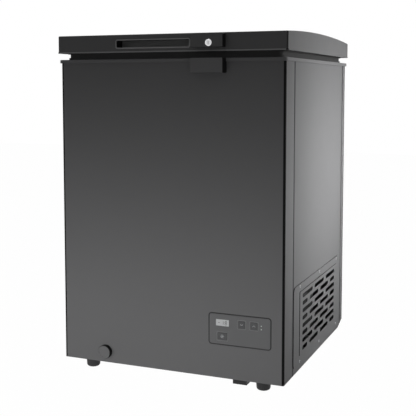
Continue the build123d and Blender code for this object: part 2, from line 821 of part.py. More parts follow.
def build_panel_fascia():
    """The flush plate inside the frame, with windows for the display, the keys and the lamps."""
    fascia_w = PANEL_W - 2 * BEZEL_W - 2 * PANEL_FIT
    fascia_h = PANEL_H - 2 * BEZEL_W - 2 * PANEL_FIT
    with BuildPart() as fascia:
        with BuildSketch(front_plane(FRONT_Y)):
            with Locations((PANEL_X, PANEL_Z)):
                RectangleRounded(fascia_w, fascia_h, PANEL_R - BEZEL_W - PANEL_FIT)
                for key_x, key_z, key_w, key_h in KEYS.values():
                    with Locations((key_x, key_z)):
                        RectangleRounded(key_w, key_h, KEY_CORNER_R, mode=Mode.SUBTRACT)
                with Locations((DISPLAY_X, DISPLAY_DZ)):
                    Rectangle(DISPLAY_W, DISPLAY_H, mode=Mode.SUBTRACT)
                with Locations(*[(LED_X, dz) for dz in LED_DZ]):
                    Circle(LED_R, mode=Mode.SUBTRACT)
        extrude(amount=PANEL_PROUD - PANEL_FIT)
    return fascia.part


def build_control_box():
    """The open box behind the panel, with a rim under the fascia and pillars for the circuit board."""
    box_w, box_h = control_box_size()
    board_front = FRONT_Y + BOARD_BACK
    with BuildPart() as box:
        with BuildSketch(front_plane(FRONT_Y)):
            with Locations((PANEL_X, PANEL_Z)):
                Rectangle(box_w, box_h)
        extrude(amount=-BOX_DEPTH)
        with BuildSketch(front_plane(FRONT_Y)):
            with Locations((PANEL_X, PANEL_Z)):
                Rectangle(box_w - 2 * BOX_WALL, box_h - 2 * BOX_WALL)
        extrude(amount=-BOX_DEPTH + BOX_WALL, mode=Mode.SUBTRACT)
        with BuildSketch(front_plane(board_front + BOARD_T)):
            with Locations((PANEL_X, PANEL_Z)):
                with GridLocations(box_w - 2 * PILLAR_INSET, box_h - 2 * PILLAR_INSET, 2, 2):
                    Circle(PILLAR_R)
        extrude(amount=-BOX_DEPTH + BOARD_BACK + BOARD_T + BOX_WALL / 2)
    return box.part


def build_circuit_board():
    """The control board on its pillars, with a press switch behind each key."""
    box_w, box_h = control_box_size()
    board_front = FRONT_Y + BOARD_BACK
    margin = BOX_WALL + BOARD_MARGIN
    with BuildPart() as board:
        with BuildSketch(front_plane(board_front)):
            with Locations((PANEL_X, PANEL_Z)):
                Rectangle(box_w - 2 * margin, box_h - 2 * margin)
        extrude(amount=-BOARD_T)
        with BuildSketch(front_plane(board_front)):
            with Locations((PANEL_X, PANEL_Z)):
                for key_x, key_z, _, _ in KEYS.values():
                    with Locations((key_x, key_z)):
                        Rectangle(SWITCH_W, SWITCH_W)
        extrude(amount=SWITCH_H)
    return board.part


def build_display():
    """The three-digit display, carried on the board and flush in the fascia's window."""
    board_front = FRONT_Y + BOARD_BACK
    with BuildPart() as display:
        with BuildSketch(front_plane(board_front)):
            with Locations((PANEL_X + DISPLAY_X, PANEL_Z + DISPLAY_DZ)):
                Rectangle(DISPLAY_W - 2 * KEY_FIT, DISPLAY_H - 2 * KEY_FIT)
        extrude(amount=BOARD_BACK + PANEL_PROUD - 2 * PANEL_FIT)
    return display.part


def build_lamps():
    """Two small indicator lamps on long legs from the board."""
    board_front = FRONT_Y + BOARD_BACK
    with BuildPart() as lamps:
        with BuildSketch(front_plane(board_front)):
            with Locations(*[(PANEL_X + LED_X, PANEL_Z + dz) for dz in LED_DZ]):
                Circle(LED_R - KEY_FIT / 2)
        extrude(amount=BOARD_BACK + PANEL_PROUD - PANEL_FIT)
    return lamps.part


def build_key(key_x, key_z, key_w, key_h):
    """A push key: a cap through the fascia, a flange behind it and a stem to the switch on the board."""
    place = (PANEL_X + key_x, PANEL_Z + key_z)
    switch_y = FRONT_Y + BOARD_BACK - SWITCH_H
    flange_y = FRONT_Y + PANEL_FIT
    with BuildPart() as key:
        with BuildSketch(front_plane(flange_y)):
            with Locations(place):
                RectangleRounded(key_w - 2 * KEY_FIT, key_h - 2 * KEY_FIT, KEY_CORNER_R - KEY_FIT)
        extrude(amount=PANEL_PROUD + KEY_PROUD)
        fillet(key.edges().group_by(Axis.Y)[0], KEY_EDGE_R)
        with BuildSketch(front_plane(flange_y)):
            with Locations(place):
                Rectangle(key_w + 2 * KEY_FLANGE, key_h + 2 * KEY_FLANGE)
        extrude(amount=-KEY_FLANGE_T)
        with BuildSketch(front_plane(flange_y)):
            with Locations(place):
                Circle(KEY_STEM_R)
        extrude(amount=-(switch_y - flange_y) + KEY_TRAVEL + SWITCH_GAP)
    return key.part


def build_grille():
    """The slotted cover of the machine bay: a raised field with staggered slots in a flat border."""
    width = GRILLE_W
    height = GRILLE_TOP - GRILLE_BOTTOM
    field_mid = (GRILLE_FIELD_BOTTOM + GRILLE_FIELD_TOP) / 2
    field_h = GRILLE_FIELD_TOP - GRILLE_FIELD_BOTTOM - 2 * SLEEVE
    field_w = GRILLE_FIELD_W - 2 * SLEEVE
    with BuildPart() as grille:
        with BuildSketch(side_plane(HALF_W)):
            with Locations((GRILLE_Y, (GRILLE_TOP + GRILLE_BOTTOM) / 2)):
                RectangleRounded(width, height, GRILLE_R)
        extrude(amount=GRILLE_T)
        with BuildSketch(side_plane(HALF_W + GRILLE_T)):
            with Locations((GRILLE_FIELD_Y, field_mid)):
                RectangleRounded(field_w, field_h, GRILLE_FIELD_R)
        extrude(amount=GRILLE_FIELD_RISE, taper=GRILLE_FIELD_TAPER)
        with BuildSketch(side_plane(HALF_W)):
            with Locations((GRILLE_FIELD_Y, field_mid)):
                RectangleRounded(field_w - 2 * GRILLE_T, field_h - 2 * GRILLE_T, GRILLE_FIELD_R - LEAST_R)
        extrude(amount=GRILLE_FIELD_RISE, taper=GRILLE_FIELD_TAPER, mode=Mode.SUBTRACT)
        with BuildSketch(side_plane(HALF_W)):
            for row in range(SLOT_ROWS):
                row_z = SLOT_LOW_Z + row * SLOT_PITCH
                for slot_y, slot_l in slot_row(row):
                    with Locations((slot_y, row_z)):
                        SlotOverall(slot_l, SLOT_H)
        extrude(amount=4 * GRILLE_T, mode=Mode.SUBTRACT)
    return grille.part


def slot_row(row):
    """Centres and lengths of one row of slots: three equal ones, or two between a half one at each end."""
    full = (SLOT_SPAN - 2 * SLOT_GAP) / 3
    if row % 2:
        lengths = [full] * 3
    else:
        inner = full - SLOT_TRIM
        half = (SLOT_SPAN - 3 * SLOT_GAP - 2 * inner) / 2
        lengths = [half, inner, inner, half]
    centres = []
    start = SLOT_Y - SLOT_SPAN / 2
    for length in lengths:
        centres.append((start + length / 2, length))
        start += length + SLOT_GAP
    return centres


def build_grille_screws():
    """Six pan-head screws that hold the grille to the shell."""
    rows = (GRILLE_BOTTOM + GRILLE_SCREW_INSET, GRILLE_TOP - GRILLE_SCREW_INSET)
    places = [
        (GRILLE_SCREW_Y + column * GRILLE_SCREW_PITCH, row_z) for column in (-1, 0, 1) for row_z in rows
    ]
    with BuildPart() as screws:
        with BuildSketch(side_plane(HALF_W + GRILLE_T)):
            with Locations(*places):
                Circle(SCREW_R)
        extrude(amount=SCREW_HEAD_H)
        chamfer(screws.edges().group_by(Axis.X)[-1], SCREW_EDGE)
    return screws.part


def build_foot(place):
    """A levelling foot: a tapered pad with a rounded sole edge and a stem that screws into its socket."""
    x, y = place
    with BuildPart() as foot:
        with BuildSketch(Plane(origin=(x, y, 0), x_dir=(1, 0, 0), z_dir=(0, -1, 0))):
            with BuildLine():
                Polyline(
                    (0, 0),
                    (FOOT_SOLE_R, 0),
                    (FOOT_TOP_R, FOOT_H),
                    (STEM_R, FOOT_H),
                    (STEM_R, STEM_TOP),
                    (0, STEM_TOP),
                    close=True,
                )
            make_face()
        revolve(axis=Axis((x, y, 0), (0, 0, 1)))
        fillet(foot.edges().group_by(Axis.Z)[0], FOOT_SOLE_EDGE_R)
    return foot.part


def build_foot_sockets():
    """Threaded bushes on the floor sheets, one above each foot."""
    with BuildPart() as sockets:
        for x, y in foot_places().values():
            floor = FLOOR_TOP if x < 0 else BASE_Z + TRAY_SHEET
            with BuildSketch(Plane.XY.offset(floor)):
                with Locations((x, y)):
                    Circle(SOCKET_R)
                    Circle(STEM_R + RUNNING, mode=Mode.SUBTRACT)
            extrude(amount=SOCKET_H)
    return sockets.part


def build_compressor():
    """The sealed compressor: a drawn steel can with a domed top and a welded band, on its foot plate."""
    axis = Plane(origin=(COMPRESSOR_X, COMPRESSOR_Y, COMPRESSOR_Z), x_dir=(1, 0, 0), z_dir=(0, -1, 0))
    with BuildPart() as compressor:
        with BuildSketch(axis):
            with BuildLine():
                can = FilletPolyline(
                    (0, 0),
                    (COMPRESSOR_R, 0),
                    (COMPRESSOR_R, COMPRESSOR_H),
                    (0, COMPRESSOR_H),
                    radius=[COMPRESSOR_FOOT_R, COMPRESSOR_CROWN_R],
                )
                Line(can @ 1, can @ 0)
            make_face()
        revolve(axis=Axis((COMPRESSOR_X, COMPRESSOR_Y, 0), (0, 0, 1)))
        with BuildSketch(Plane.XY.offset(COMPRESSOR_Z + SEAM_Z)):
            with Locations((COMPRESSOR_X, COMPRESSOR_Y)):
                Circle(COMPRESSOR_R + SEAM_PROUD)
        extrude(amount=SEAM_H)
        with BuildSketch(Plane.XY.offset(COMPRESSOR_Z - FOOT_PLATE_T)):
            with Locations((COMPRESSOR_X, COMPRESSOR_Y)):
                RectangleRounded(FOOT_PLATE_L, FOOT_PLATE_W, FOOT_PLATE_R)
                with GridLocations(GROMMET_PITCH_X, GROMMET_PITCH_Y, 2, 2):
                    Circle(STUD_R + STUD_ROOM, mode=Mode.SUBTRACT)
        extrude(amount=FOOT_PLATE_T)
    return compressor.part


def build_grommets():
    """Four rubber mounts between the compressor's foot plate and the tray."""
    bottom = BASE_Z + TRAY_SHEET
    height = COMPRESSOR_Z - FOOT_PLATE_T - bottom
    with BuildPart() as grommets:
        with BuildSketch(Plane.XY.offset(bottom)):
            with Locations((COMPRESSOR_X, COMPRESSOR_Y)):
                with GridLocations(GROMMET_PITCH_X, GROMMET_PITCH_Y, 2, 2):
                    Circle(GROMMET_R)
                    Circle(STUD_R + RUNNING, mode=Mode.SUBTRACT)
        extrude(amount=height)
    return grommets.part


def build_mount_bolts():
    """Four bolts up through the tray and the rubber mounts, each with a nut on the foot plate."""
    bottom = BASE_Z - TRAY_SHEET
    with BuildPart() as bolts:
        with Locations((COMPRESSOR_X, COMPRESSOR_Y)):
            with GridLocations(GROMMET_PITCH_X, GROMMET_PITCH_Y, 2, 2):
                with Locations((0, 0, bottom)):
                    Cylinder(
                        STUD_R,
                        COMPRESSOR_Z + STUD_HEIGHT - bottom,
                        align=(Align.CENTER, Align.CENTER, Align.MIN),
                    )
                    Cylinder(NUT_R, TRAY_SHEET, align=(Align.CENTER, Align.CENTER, Align.MIN))
        with BuildSketch(Plane.XY.offset(COMPRESSOR_Z)):
            with Locations((COMPRESSOR_X, COMPRESSOR_Y)):
                with GridLocations(GROMMET_PITCH_X, GROMMET_PITCH_Y, 2, 2):
                    RegularPolygon(NUT_R, 6)
        extrude(amount=NUT_H)
    return bolts.part


def build_starter_box():
    """The starter and terminal cover, hollowed at the back to sit against the compressor's can."""
    can_y = COMPRESSOR_Y - COMPRESSOR_R
    with BuildPart() as box:
        with BuildSketch(front_plane(can_y + STARTER_H / 4)):
            with Locations((COMPRESSOR_X, COMPRESSOR_Z + STARTER_LIFT)):
                RectangleRounded(STARTER_W, STARTER_H, STARTER_R)
        extrude(amount=STARTER_T + STARTER_H / 4)
        fillet(box.edges().group_by(Axis.Y)[0], STARTER_EDGE_R)
        with Locations((COMPRESSOR_X, COMPRESSOR_Y, COMPRESSOR_Z)):
            Cylinder(
                COMPRESSOR_R + SLEEVE,
                COMPRESSOR_H,
                align=(Align.CENTER, Align.CENTER, Align.MIN),
                mode=Mode.SUBTRACT,
            )
    return box.part


def build_pipe(offset_x, lift, run):
    """A refrigerant pipe from the back of the compressor, along run and up to the bay's ceiling."""
    x = COMPRESSOR_X + offset_x
    start_y = COMPRESSOR_Y + COMPRESSOR_R + SEAT_GAP
    points = [
        (x, start_y, COMPRESSOR_Z + lift),
        (x, start_y + run, COMPRESSOR_Z + lift),
        (x, start_y + run, BAY_TOP - SEAT_GAP),
    ]
    with BuildPart() as pipe:
        with BuildLine() as route:
            FilletPolyline(*points, radius=PIPE_BEND_R)
        with BuildSketch(Plane(origin=points[0], z_dir=route.line % 0)):
            Circle(PIPE_R)
        sweep()
    return pipe.part


def build_filter_dryer():
    """The filter dryer: a copper can necked at both ends, hung from the bay's ceiling by its inlet pipe."""
    with BuildPart() as dryer:
        with BuildSketch(Plane(origin=(DRYER_X, DRYER_Y, 0), x_dir=(1, 0, 0), z_dir=(0, -1, 0))):
            with BuildLine():
                Polyline(
                    (0, DRYER_LOW - DRYER_TAIL),
                    (PIPE_R / 2, DRYER_LOW - DRYER_TAIL),
                    (PIPE_R / 2, DRYER_LOW),
                    (DRYER_R, DRYER_LOW + DRYER_NECK),
                    (DRYER_R, DRYER_LOW + DRYER_H - DRYER_NECK),
                    (PIPE_R, DRYER_LOW + DRYER_H),
                    (PIPE_R, BAY_TOP - SEAT_GAP),
                    (0, BAY_TOP - SEAT_GAP),
                    close=True,
                )
            make_face()
        revolve(axis=Axis((DRYER_X, DRYER_Y, 0), (0, 0, 1)))
    return dryer.part


def build_keeper():
    """The block on the cabinet front that the lock's cam drops into, through a slot in its top."""
    top = RIM_TOP
    with BuildPart() as keeper:
        with BuildSketch(front_plane(FRONT_Y)):
            with Locations((BLOCK_X, (KEEPER_BOTTOM + top) / 2)):
                Rectangle(BLOCK_W, top - KEEPER_BOTTOM)
        extrude(amount=FRONT_Y - BLOCK_FRONT_Y)
        outer = keeper.edges().filter_by(Axis.Y)
        fillet(outer, BLOCK_EDGE_R)
        fillet(keeper.faces().sort_by(Axis.Y)[0].edges(), BLOCK_EDGE_R / 2)
        # Room for the rim's edge behind the upper part
        with BuildSketch(front_plane(FRONT_Y)):
            with Locations((BLOCK_X, top)):
                Rectangle(2 * BLOCK_W, 2 * (RIM_SKIRT + SLEEVE))
        extrude(amount=RIM_REACH + SLEEVE, mode=Mode.SUBTRACT)
        # Slot for the swinging cam
        with BuildSketch(Plane.XY.offset(KEEPER_POCKET_Z)):
            with Locations((LOCK_X - keeper_slot_reach() / 2, CAM_Y)):
                Rectangle(keeper_slot_reach() + 2 * CAM_W, CAM_T + 2 * CAM_ROOM)
        extrude(amount=top, mode=Mode.SUBTRACT)
    return keeper.part


def keeper_slot_reach():
    """How far beside the lock the cam's tip crosses the keeper's top."""
    drop = LOCK_Z - RIM_TOP
    return (CAM_LENGTH**2 - drop**2) ** 0.5


def build_lock_housing():
    """The hollow block on the lid front that holds the lock, open at the back and slotted below."""
    height = LOCK_HOUSING_TOP - LOCK_HOUSING_BOTTOM
    mid_z = (LOCK_HOUSING_TOP + LOCK_HOUSING_BOTTOM) / 2
    depth = LID_FRONT_Y - BLOCK_FRONT_Y
    with BuildPart() as housing:
        with BuildSketch(front_plane(LID_FRONT_Y)):
            with Locations((BLOCK_X, mid_z)):
                Rectangle(BLOCK_W, height)
        extrude(amount=depth)
        fillet(housing.edges().filter_by(Axis.Y), BLOCK_EDGE_R)
        fillet(housing.faces().sort_by(Axis.Y)[0].edges(), BLOCK_EDGE_R / 2)
        with BuildSketch(front_plane(LID_FRONT_Y)):
            with Locations((BLOCK_X, mid_z)):
                Rectangle(BLOCK_W - 2 * BLOCK_WALL, height - 2 * BLOCK_WALL)
        extrude(amount=depth - BLOCK_WALL, mode=Mode.SUBTRACT)
        with BuildSketch(Plane.XY.offset(LOCK_HOUSING_BOTTOM - BLOCK_WALL)):
            with Locations((LOCK_X - (CAM_LENGTH - CAM_W / 2) / 2, CAM_Y)):
                Rectangle(CAM_LENGTH + CAM_W / 2 + 2 * CAM_ROOM, CAM_T + 2 * CAM_ROOM)
        extrude(amount=3 * BLOCK_WALL, mode=Mode.SUBTRACT)
        with BuildSketch(front_plane(BLOCK_FRONT_Y)):
            with Locations((LOCK_X, LOCK_Z)):
                Circle(LOCK_BARREL_R + RUNNING)
        extrude(amount=-depth / 2, mode=Mode.SUBTRACT)
    return housing.part


def build_lock_ring():
    """The bright ring round the key barrel."""
    with BuildPart() as ring:
        with BuildSketch(front_plane(BLOCK_FRONT_Y)):
            with Locations((LOCK_X, LOCK_Z)):
                Circle(LOCK_RING_R)
                Circle(LOCK_BARREL_R + RUNNING, mode=Mode.SUBTRACT)
        extrude(amount=LOCK_RING_PROUD)
        chamfer(ring.edges().group_by(Axis.Y)[0], LOCK_RING_EDGE)
    return ring.part


def build_lock_barrel():
    """The key barrel, with a blind key slot in its face, that carries the cam."""
    face_y = BLOCK_FRONT_Y - LOCK_RING_PROUD + LOCK_BARREL_SUNK
    with BuildPart() as barrel:
        with BuildSketch(front_plane(face_y)):
            with Locations((LOCK_X, LOCK_Z)):
                Circle(LOCK_BARREL_R)
        extrude(amount=face_y - CAM_Y + CAM_T / 2)
        with BuildSketch(front_plane(face_y)):
            with Locations((LOCK_X, LOCK_Z)):
                Rectangle(KEY_SLOT_W, KEY_SLOT_L)
        extrude(amount=-KEY_SLOT_DEPTH, mode=Mode.SUBTRACT)
    return barrel.part


def build_lock_cam():
    """The flat cam behind the barrel, which turns down into the keeper."""
    with BuildPart() as cam:
        with BuildSketch(front_plane(CAM_Y + CAM_T / 2)):
            with Locations((LOCK_X - CAM_LENGTH / 2 + CAM_W / 4, LOCK_Z)):
                SlotOverall(CAM_LENGTH + CAM_W / 2, CAM_W)
        extrude(amount=CAM_T)
        with BuildSketch(front_plane(CAM_Y + CAM_T / 2)):
            with Locations((LOCK_X, LOCK_Z)):
                Circle(CAM_HUB_R)
        extrude(amount=-CAM_HUB_L)
    return cam.part


def lid_block(inset, bottom):
    """The lid's arched block, drawn in by inset on every side and reaching down to bottom."""
    half_d = LID_D / 2 - inset
    half_w = LID_W / 2 - inset
    with BuildPart() as block:
        with BuildSketch(Plane.YZ):
            with BuildLine():
                front = Line((-half_d, bottom), (-half_d, LID_FRONT_TOP - inset))
                top = ThreePointArc(
                    front @ 1, (LID_PEAK_Y, LID_PEAK - inset), (half_d, LID_BACK_TOP - inset)
                )
                back = Line(top @ 1, (half_d, bottom))
                Line(back @ 1, front @ 0)
            make_face()
        extrude(amount=half_w, both=True)
        fillet(block.edges().filter_by(Axis.Z), max(LID_CORNER_R - inset, LEAST_R))
        if inset == 0:
            crown = block.faces().sort_by(Axis.Z)[-1]
            fillet(crown.edges(), LID_EDGE_R)
    return block.part


def grip_sketch(grow):
    """The grip recess's rounded mouth, grown by a margin, drawn in the current sketch."""
    with Locations(((GRIP_LEFT + GRIP_RIGHT) / 2, (GRIP_BOTTOM + GRIP_TOP) / 2)):
        RectangleRounded(
            GRIP_RIGHT - GRIP_LEFT + 2 * grow,
            GRIP_TOP - GRIP_BOTTOM + 2 * grow,
            GRIP_CORNER_R + grow,
        )


def build_lid_shell():
    """The moulded outer lid, open below, with a lip round its edge and an opening for the grip."""
    outside = lid_block(0, LID_SKIRT_Z)
    inside = lid_block(LID_WALL, LID_SKIRT_Z - WALL)
    with BuildPart() as lid:
        add(outside)
        add(inside, mode=Mode.SUBTRACT)
        with BuildSketch(Plane.XY.offset(LID_SKIRT_Z)):
            ring_sketch(
                LID_W + 2 * LID_LIP, LID_D + 2 * LID_LIP, LID_CORNER_R + LID_LIP, LID_LIP + LID_WALL
            )
        extrude(amount=LID_LIP_H)
        with BuildSketch(front_plane(LID_FRONT_Y)):
            grip_sketch(GRIP_WALL + SLEEVE)
        extrude(amount=-2 * LID_WALL, mode=Mode.SUBTRACT)
    return lid.part


def build_grip_cup():
    """The cup behind the grip opening, closed at the back, with a thin lip on the lid front."""
    with BuildPart() as cup:
        with BuildSketch(front_plane(LID_FRONT_Y)):
            grip_sketch(GRIP_WALL)
        extrude(amount=-GRIP_DEPTH)
        with BuildSketch(front_plane(LID_FRONT_Y)):
            grip_sketch(2 * GRIP_WALL)
        extrude(amount=GRIP_LIP)
        fillet(cup.edges().group_by(Axis.Y)[0], GRIP_EDGE_R)
        with BuildSketch(front_plane(LID_FRONT_Y - GRIP_LIP)):
            grip_sketch(0)
        extrude(amount=-GRIP_DEPTH - GRIP_LIP + GRIP_WALL, mode=Mode.SUBTRACT)
    return cup.part


def build_lid_liner():
    """The thermoformed panel under the lid, with a shallow bulge inside the seal."""
    margin = LID_WALL + SLEEVE
    bulge_w = LID_W - 2 * LID_BULGE_INSET
    bulge_d = LID_D - 2 * LID_BULGE_INSET
    with BuildPart() as pan:
        with BuildSketch(Plane.XY.offset(LINER_PAN_Z)):
            RectangleRounded(LID_W - 2 * margin, LID_D - 2 * margin, LINER_PAN_R)
        extrude(amount=LINER_PAN_SHEET)
        with BuildSketch(Plane.XY.offset(LINER_PAN_Z)):
            RectangleRounded(bulge_w, bulge_d, LID_BULGE_R)
        extrude(amount=LID_BULGE_Z - LINER_PAN_Z)
        fillet(pan.edges().group_by(Axis.Z)[0], LID_BULGE_EDGE_R)
        with BuildSketch(Plane.XY.offset(LID_BULGE_Z + LINER_PAN_SHEET)):
            RectangleRounded(
                bulge_w - 2 * LINER_PAN_SHEET,
                bulge_d - 2 * LINER_PAN_SHEET,
                LID_BULGE_R - LINER_PAN_SHEET,
            )
        extrude(amount=LINER_PAN_Z - LID_BULGE_Z, mode=Mode.SUBTRACT)
    return pan.part


def build_lid_foam():
    """The foam in the lid, between its shell and its liner, with room for the grip cup."""
    block = lid_block(LID_WALL + SLEEVE, LINER_PAN_Z + LINER_PAN_SHEET + SLEEVE)
    with BuildPart() as foam:
        add(block)
        with BuildSketch(front_plane(LID_FRONT_Y)):
            grip_sketch(GRIP_WALL + SLEEVE)
        extrude(amount=-GRIP_DEPTH - SLEEVE, mode=Mode.SUBTRACT)
    return foam.part


def build_lid_seal():
    """The lid seal: a fixing flange, a narrow bellows and a magnet strip that lies on the rim."""
    outer_w = LID_W - 2 * SEAL_INSET
    outer_d = LID_D - 2 * SEAL_INSET
    bottom = RIM_TOP + SEAT_GAP
    neck_top = LINER_PAN_Z - SEAL_FLANGE_H
    layers = [
        (neck_top, SEAL_FLANGE_W, LINER_PAN_Z),
        (bottom + SEAL_MAGNET_H, SEAL_NECK_W, neck_top),
        (bottom, SEAL_MAGNET_W, bottom + SEAL_MAGNET_H),
    ]
    with BuildPart() as seal:
        for low, band, high in layers:
            trim = SEAL_FLANGE_W - band
            with BuildSketch(Plane.XY.offset(low)):
                ring_sketch(outer_w - trim, outer_d - trim, SEAL_CORNER_R, band)
            extrude(amount=high - low)
    return seal.part


def hinge_profile(leaf_y, low, high):
    """An arm from a leaf's face to the hinge barrel, seen from the side, drawn in the current sketch."""
    with BuildLine() as outline:
        CenterArc((HINGE_Y, HINGE_Z), BARREL_R, 0, 360)
        Line((leaf_y, low), (leaf_y, high))
    make_hull(outline.edges())


def build_hinge_leaf(side):
    """The fixed half of a hinge: a plate on the cabinet's back with an ear at each end of the pin."""
    x = side * HINGE_X
    plate_top = RIM_TOP - RIM_SKIRT - SLEEVE
    face_y = BACK_Y + LEAF_T
    with BuildPart() as leaf:
        with BuildSketch(Plane.XZ.offset(-BACK_Y)):
            with Locations((x, plate_top - LEAF_H / 2)):
                RectangleRounded(LEAF_W, LEAF_H, LEAF_R)
        extrude(amount=-LEAF_T)
        for end in (-1, 1):
            ear_mid = x + end * (KNUCKLE_W / 2 + HINGE_GAP + EAR_W / 2)
            with BuildSketch(Plane.YZ.offset(ear_mid)):
                hinge_profile(face_y, plate_top - LEAF_H / 2, plate_top - LEAF_MARGIN)
            extrude(amount=EAR_W / 2, both=True)
        with BuildSketch(Plane.YZ.offset(x)):
            with Locations((HINGE_Y, HINGE_Z)):
                Circle(PIN_R)
        extrude(amount=LEAF_W, both=True, mode=Mode.SUBTRACT)
    return leaf.part


def build_lid_leaf(side):
    """The moving half of a hinge: a plate on the lid's back with a knuckle between the fixed ears."""
    x = side * HINGE_X
    low = LID_SKIRT_Z + LID_LEAF_LIFT
    face_y = LID_BACK_Y + LEAF_T
    with BuildPart() as leaf:
        with BuildSketch(Plane.XZ.offset(-LID_BACK_Y)):
            with Locations((x, low + LID_LEAF_H / 2)):
                RectangleRounded(LEAF_W, LID_LEAF_H, LEAF_R)
        extrude(amount=-LEAF_T)
        with BuildSketch(Plane.YZ.offset(x)):
            hinge_profile(face_y, low + LEAF_R, low + LID_LEAF_H / 2)
        extrude(amount=KNUCKLE_W / 2, both=True)
        with BuildSketch(Plane.YZ.offset(x)):
            with Locations((HINGE_Y, HINGE_Z)):
                Circle(PIN_R + RUNNING)
        extrude(amount=LEAF_W, both=True, mode=Mode.SUBTRACT)
    return leaf.part


def build_hinge_pin(side):
    """The hinge pin, as long as the ears and the knuckle together."""
    length = KNUCKLE_W + 2 * HINGE_GAP + 2 * EAR_W
    with BuildPart() as pin:
        with BuildSketch(Plane.YZ.offset(side * HINGE_X)):
            with Locations((HINGE_Y, HINGE_Z)):
                Circle(PIN_R)
        extrude(amount=length / 2, both=True)
    return pin.part


def build_hinge_screws(rows, face_y):
    """A pair of screws in each leaf for every row, one either side of the leaf's arms."""
    with BuildPart() as screws:
        with BuildSketch(Plane.XZ.offset(-face_y)):
            for side in (-1, 1):
                for row_z in rows:
                    with Locations((side * HINGE_X, row_z)):
                        with GridLocations(HINGE_SCREW_PITCH, 1, 2, 1):
                            Circle(HINGE_SCREW_R)
        extrude(amount=-HINGE_SCREW_H)
        chamfer(screws.edges().group_by(Axis.Y)[-1], SCREW_EDGE)
    return screws.part


def basket_half_d():
    """Half the basket's depth, which spans the tank from front to back."""
    return TANK_D / 2 - LINER_SHEET - BASKET_CLEAR


def basket_top():
    """Height of the top of the basket's loop, just under the rim's plate."""
    return RIM_TOP - RIM_PLATE - BASKET_SINK


def build_basket_frame():
    """The basket's top loop of thicker wire."""
    z = basket_top() - BASKET_FRAME_R
    half_d = basket_half_d()
    with BuildPart() as frame:
        with BuildLine() as loop:
            FilletPolyline(
                (BASKET_X + BASKET_L / 2, -half_d, z),
                (BASKET_X + BASKET_L / 2, half_d, z),
                (BASKET_X - BASKET_L / 2, half_d, z),
                (BASKET_X - BASKET_L / 2, -half_d, z),
                radius=BASKET_BEND_R,
                close=True,
            )
        with BuildSketch(Plane(origin=loop.line @ 0, z_dir=loop.line % 0)):
            Circle(BASKET_FRAME_R)
        sweep()
    return frame.part


def build_basket_hooks():
    """Four hooks of bent wire that hang the basket's loop from the rim, two at each end."""
    half_d = basket_half_d()
    rest_z = RIM_TOP + BASKET_FRAME_R + SEAT_GAP
    loop_z = basket_top() - BASKET_FRAME_R
    touch = BASKET_FRAME_R * 2 + WELD_GAP
    cross_span = basket_cross_span()
    cross_step = cross_span / (BASKET_CROSS_WIRES - 1)
    with BuildPart() as hooks:
        for end in (-1, 1):
            for side in (-1, 1):
                x = BASKET_X + side * (cross_span / 2 - cross_step / 2)
                inner = end * (half_d - touch)
                points = [
                    (x, inner, loop_z - HOOK_TAIL),
                    (x, inner, rest_z),
                    (x, end * (TANK_D / 2 + HOOK_REST), rest_z),
                ]
                with BuildLine() as route:
                    FilletPolyline(*points, radius=2 * BASKET_FRAME_R)
                with BuildSketch(Plane(origin=points[0], z_dir=(0, 0, 1))):
                    Circle(BASKET_FRAME_R)
                sweep(path=route.line)
    return hooks.part


def basket_cross_span():
    """Distance between the first and the last of the wires that cross the basket."""
    return BASKET_L - 2 * CROSS_WIRE_INSET


def basket_wires(routes):
    """Bent wires, one along each route of corner points."""
    with BuildPart() as wires:
        for points in routes:
            with BuildLine() as route:
                FilletPolyline(*points, radius=BASKET_BEND_R)
            with BuildSketch(Plane(origin=points[0], z_dir=route.line % 0)):
                Circle(BASKET_WIRE_R)
            sweep(path=route.line)
    return wires.part


def build_basket_cross_wires():
    """U-shaped wires from front to back, side by side along the basket."""
    half_d = basket_half_d() - BASKET_FRAME_R - BASKET_WIRE_R - WELD_GAP
    top = basket_top()
    floor = top - BASKET_DROP
    span = basket_cross_span()
    low_d = half_d - BASKET_TAPER
    routes = []
    for index in range(BASKET_CROSS_WIRES):
        x = BASKET_X - span / 2 + span * index / (BASKET_CROSS_WIRES - 1)
        routes.append([(x, -half_d, top), (x, -low_d, floor), (x, low_d, floor), (x, half_d, top)])
    return basket_wires(routes)


def build_basket_long_wires():
    """U-shaped wires along the basket, laid under and outside the cross wires."""
    step = 2 * BASKET_WIRE_R + WELD_GAP
    half_l = BASKET_L / 2 - BASKET_FRAME_R - BASKET_WIRE_R - WELD_GAP
    top = basket_top()
    floor = top - BASKET_DROP - step
    span = 2 * (basket_half_d() - LONG_WIRE_INSET)
    low_l = half_l - BASKET_TAPER
    left, right = BASKET_X - half_l, BASKET_X + half_l
    low_left, low_right = BASKET_X - low_l, BASKET_X + low_l
    routes = []
    for index in range(BASKET_LONG_WIRES):
        y = -span / 2 + span * index / (BASKET_LONG_WIRES - 1)
        routes.append([(left, y, top), (low_left, y, floor), (low_right, y, floor), (right, y, top)])
    return basket_wires(routes)


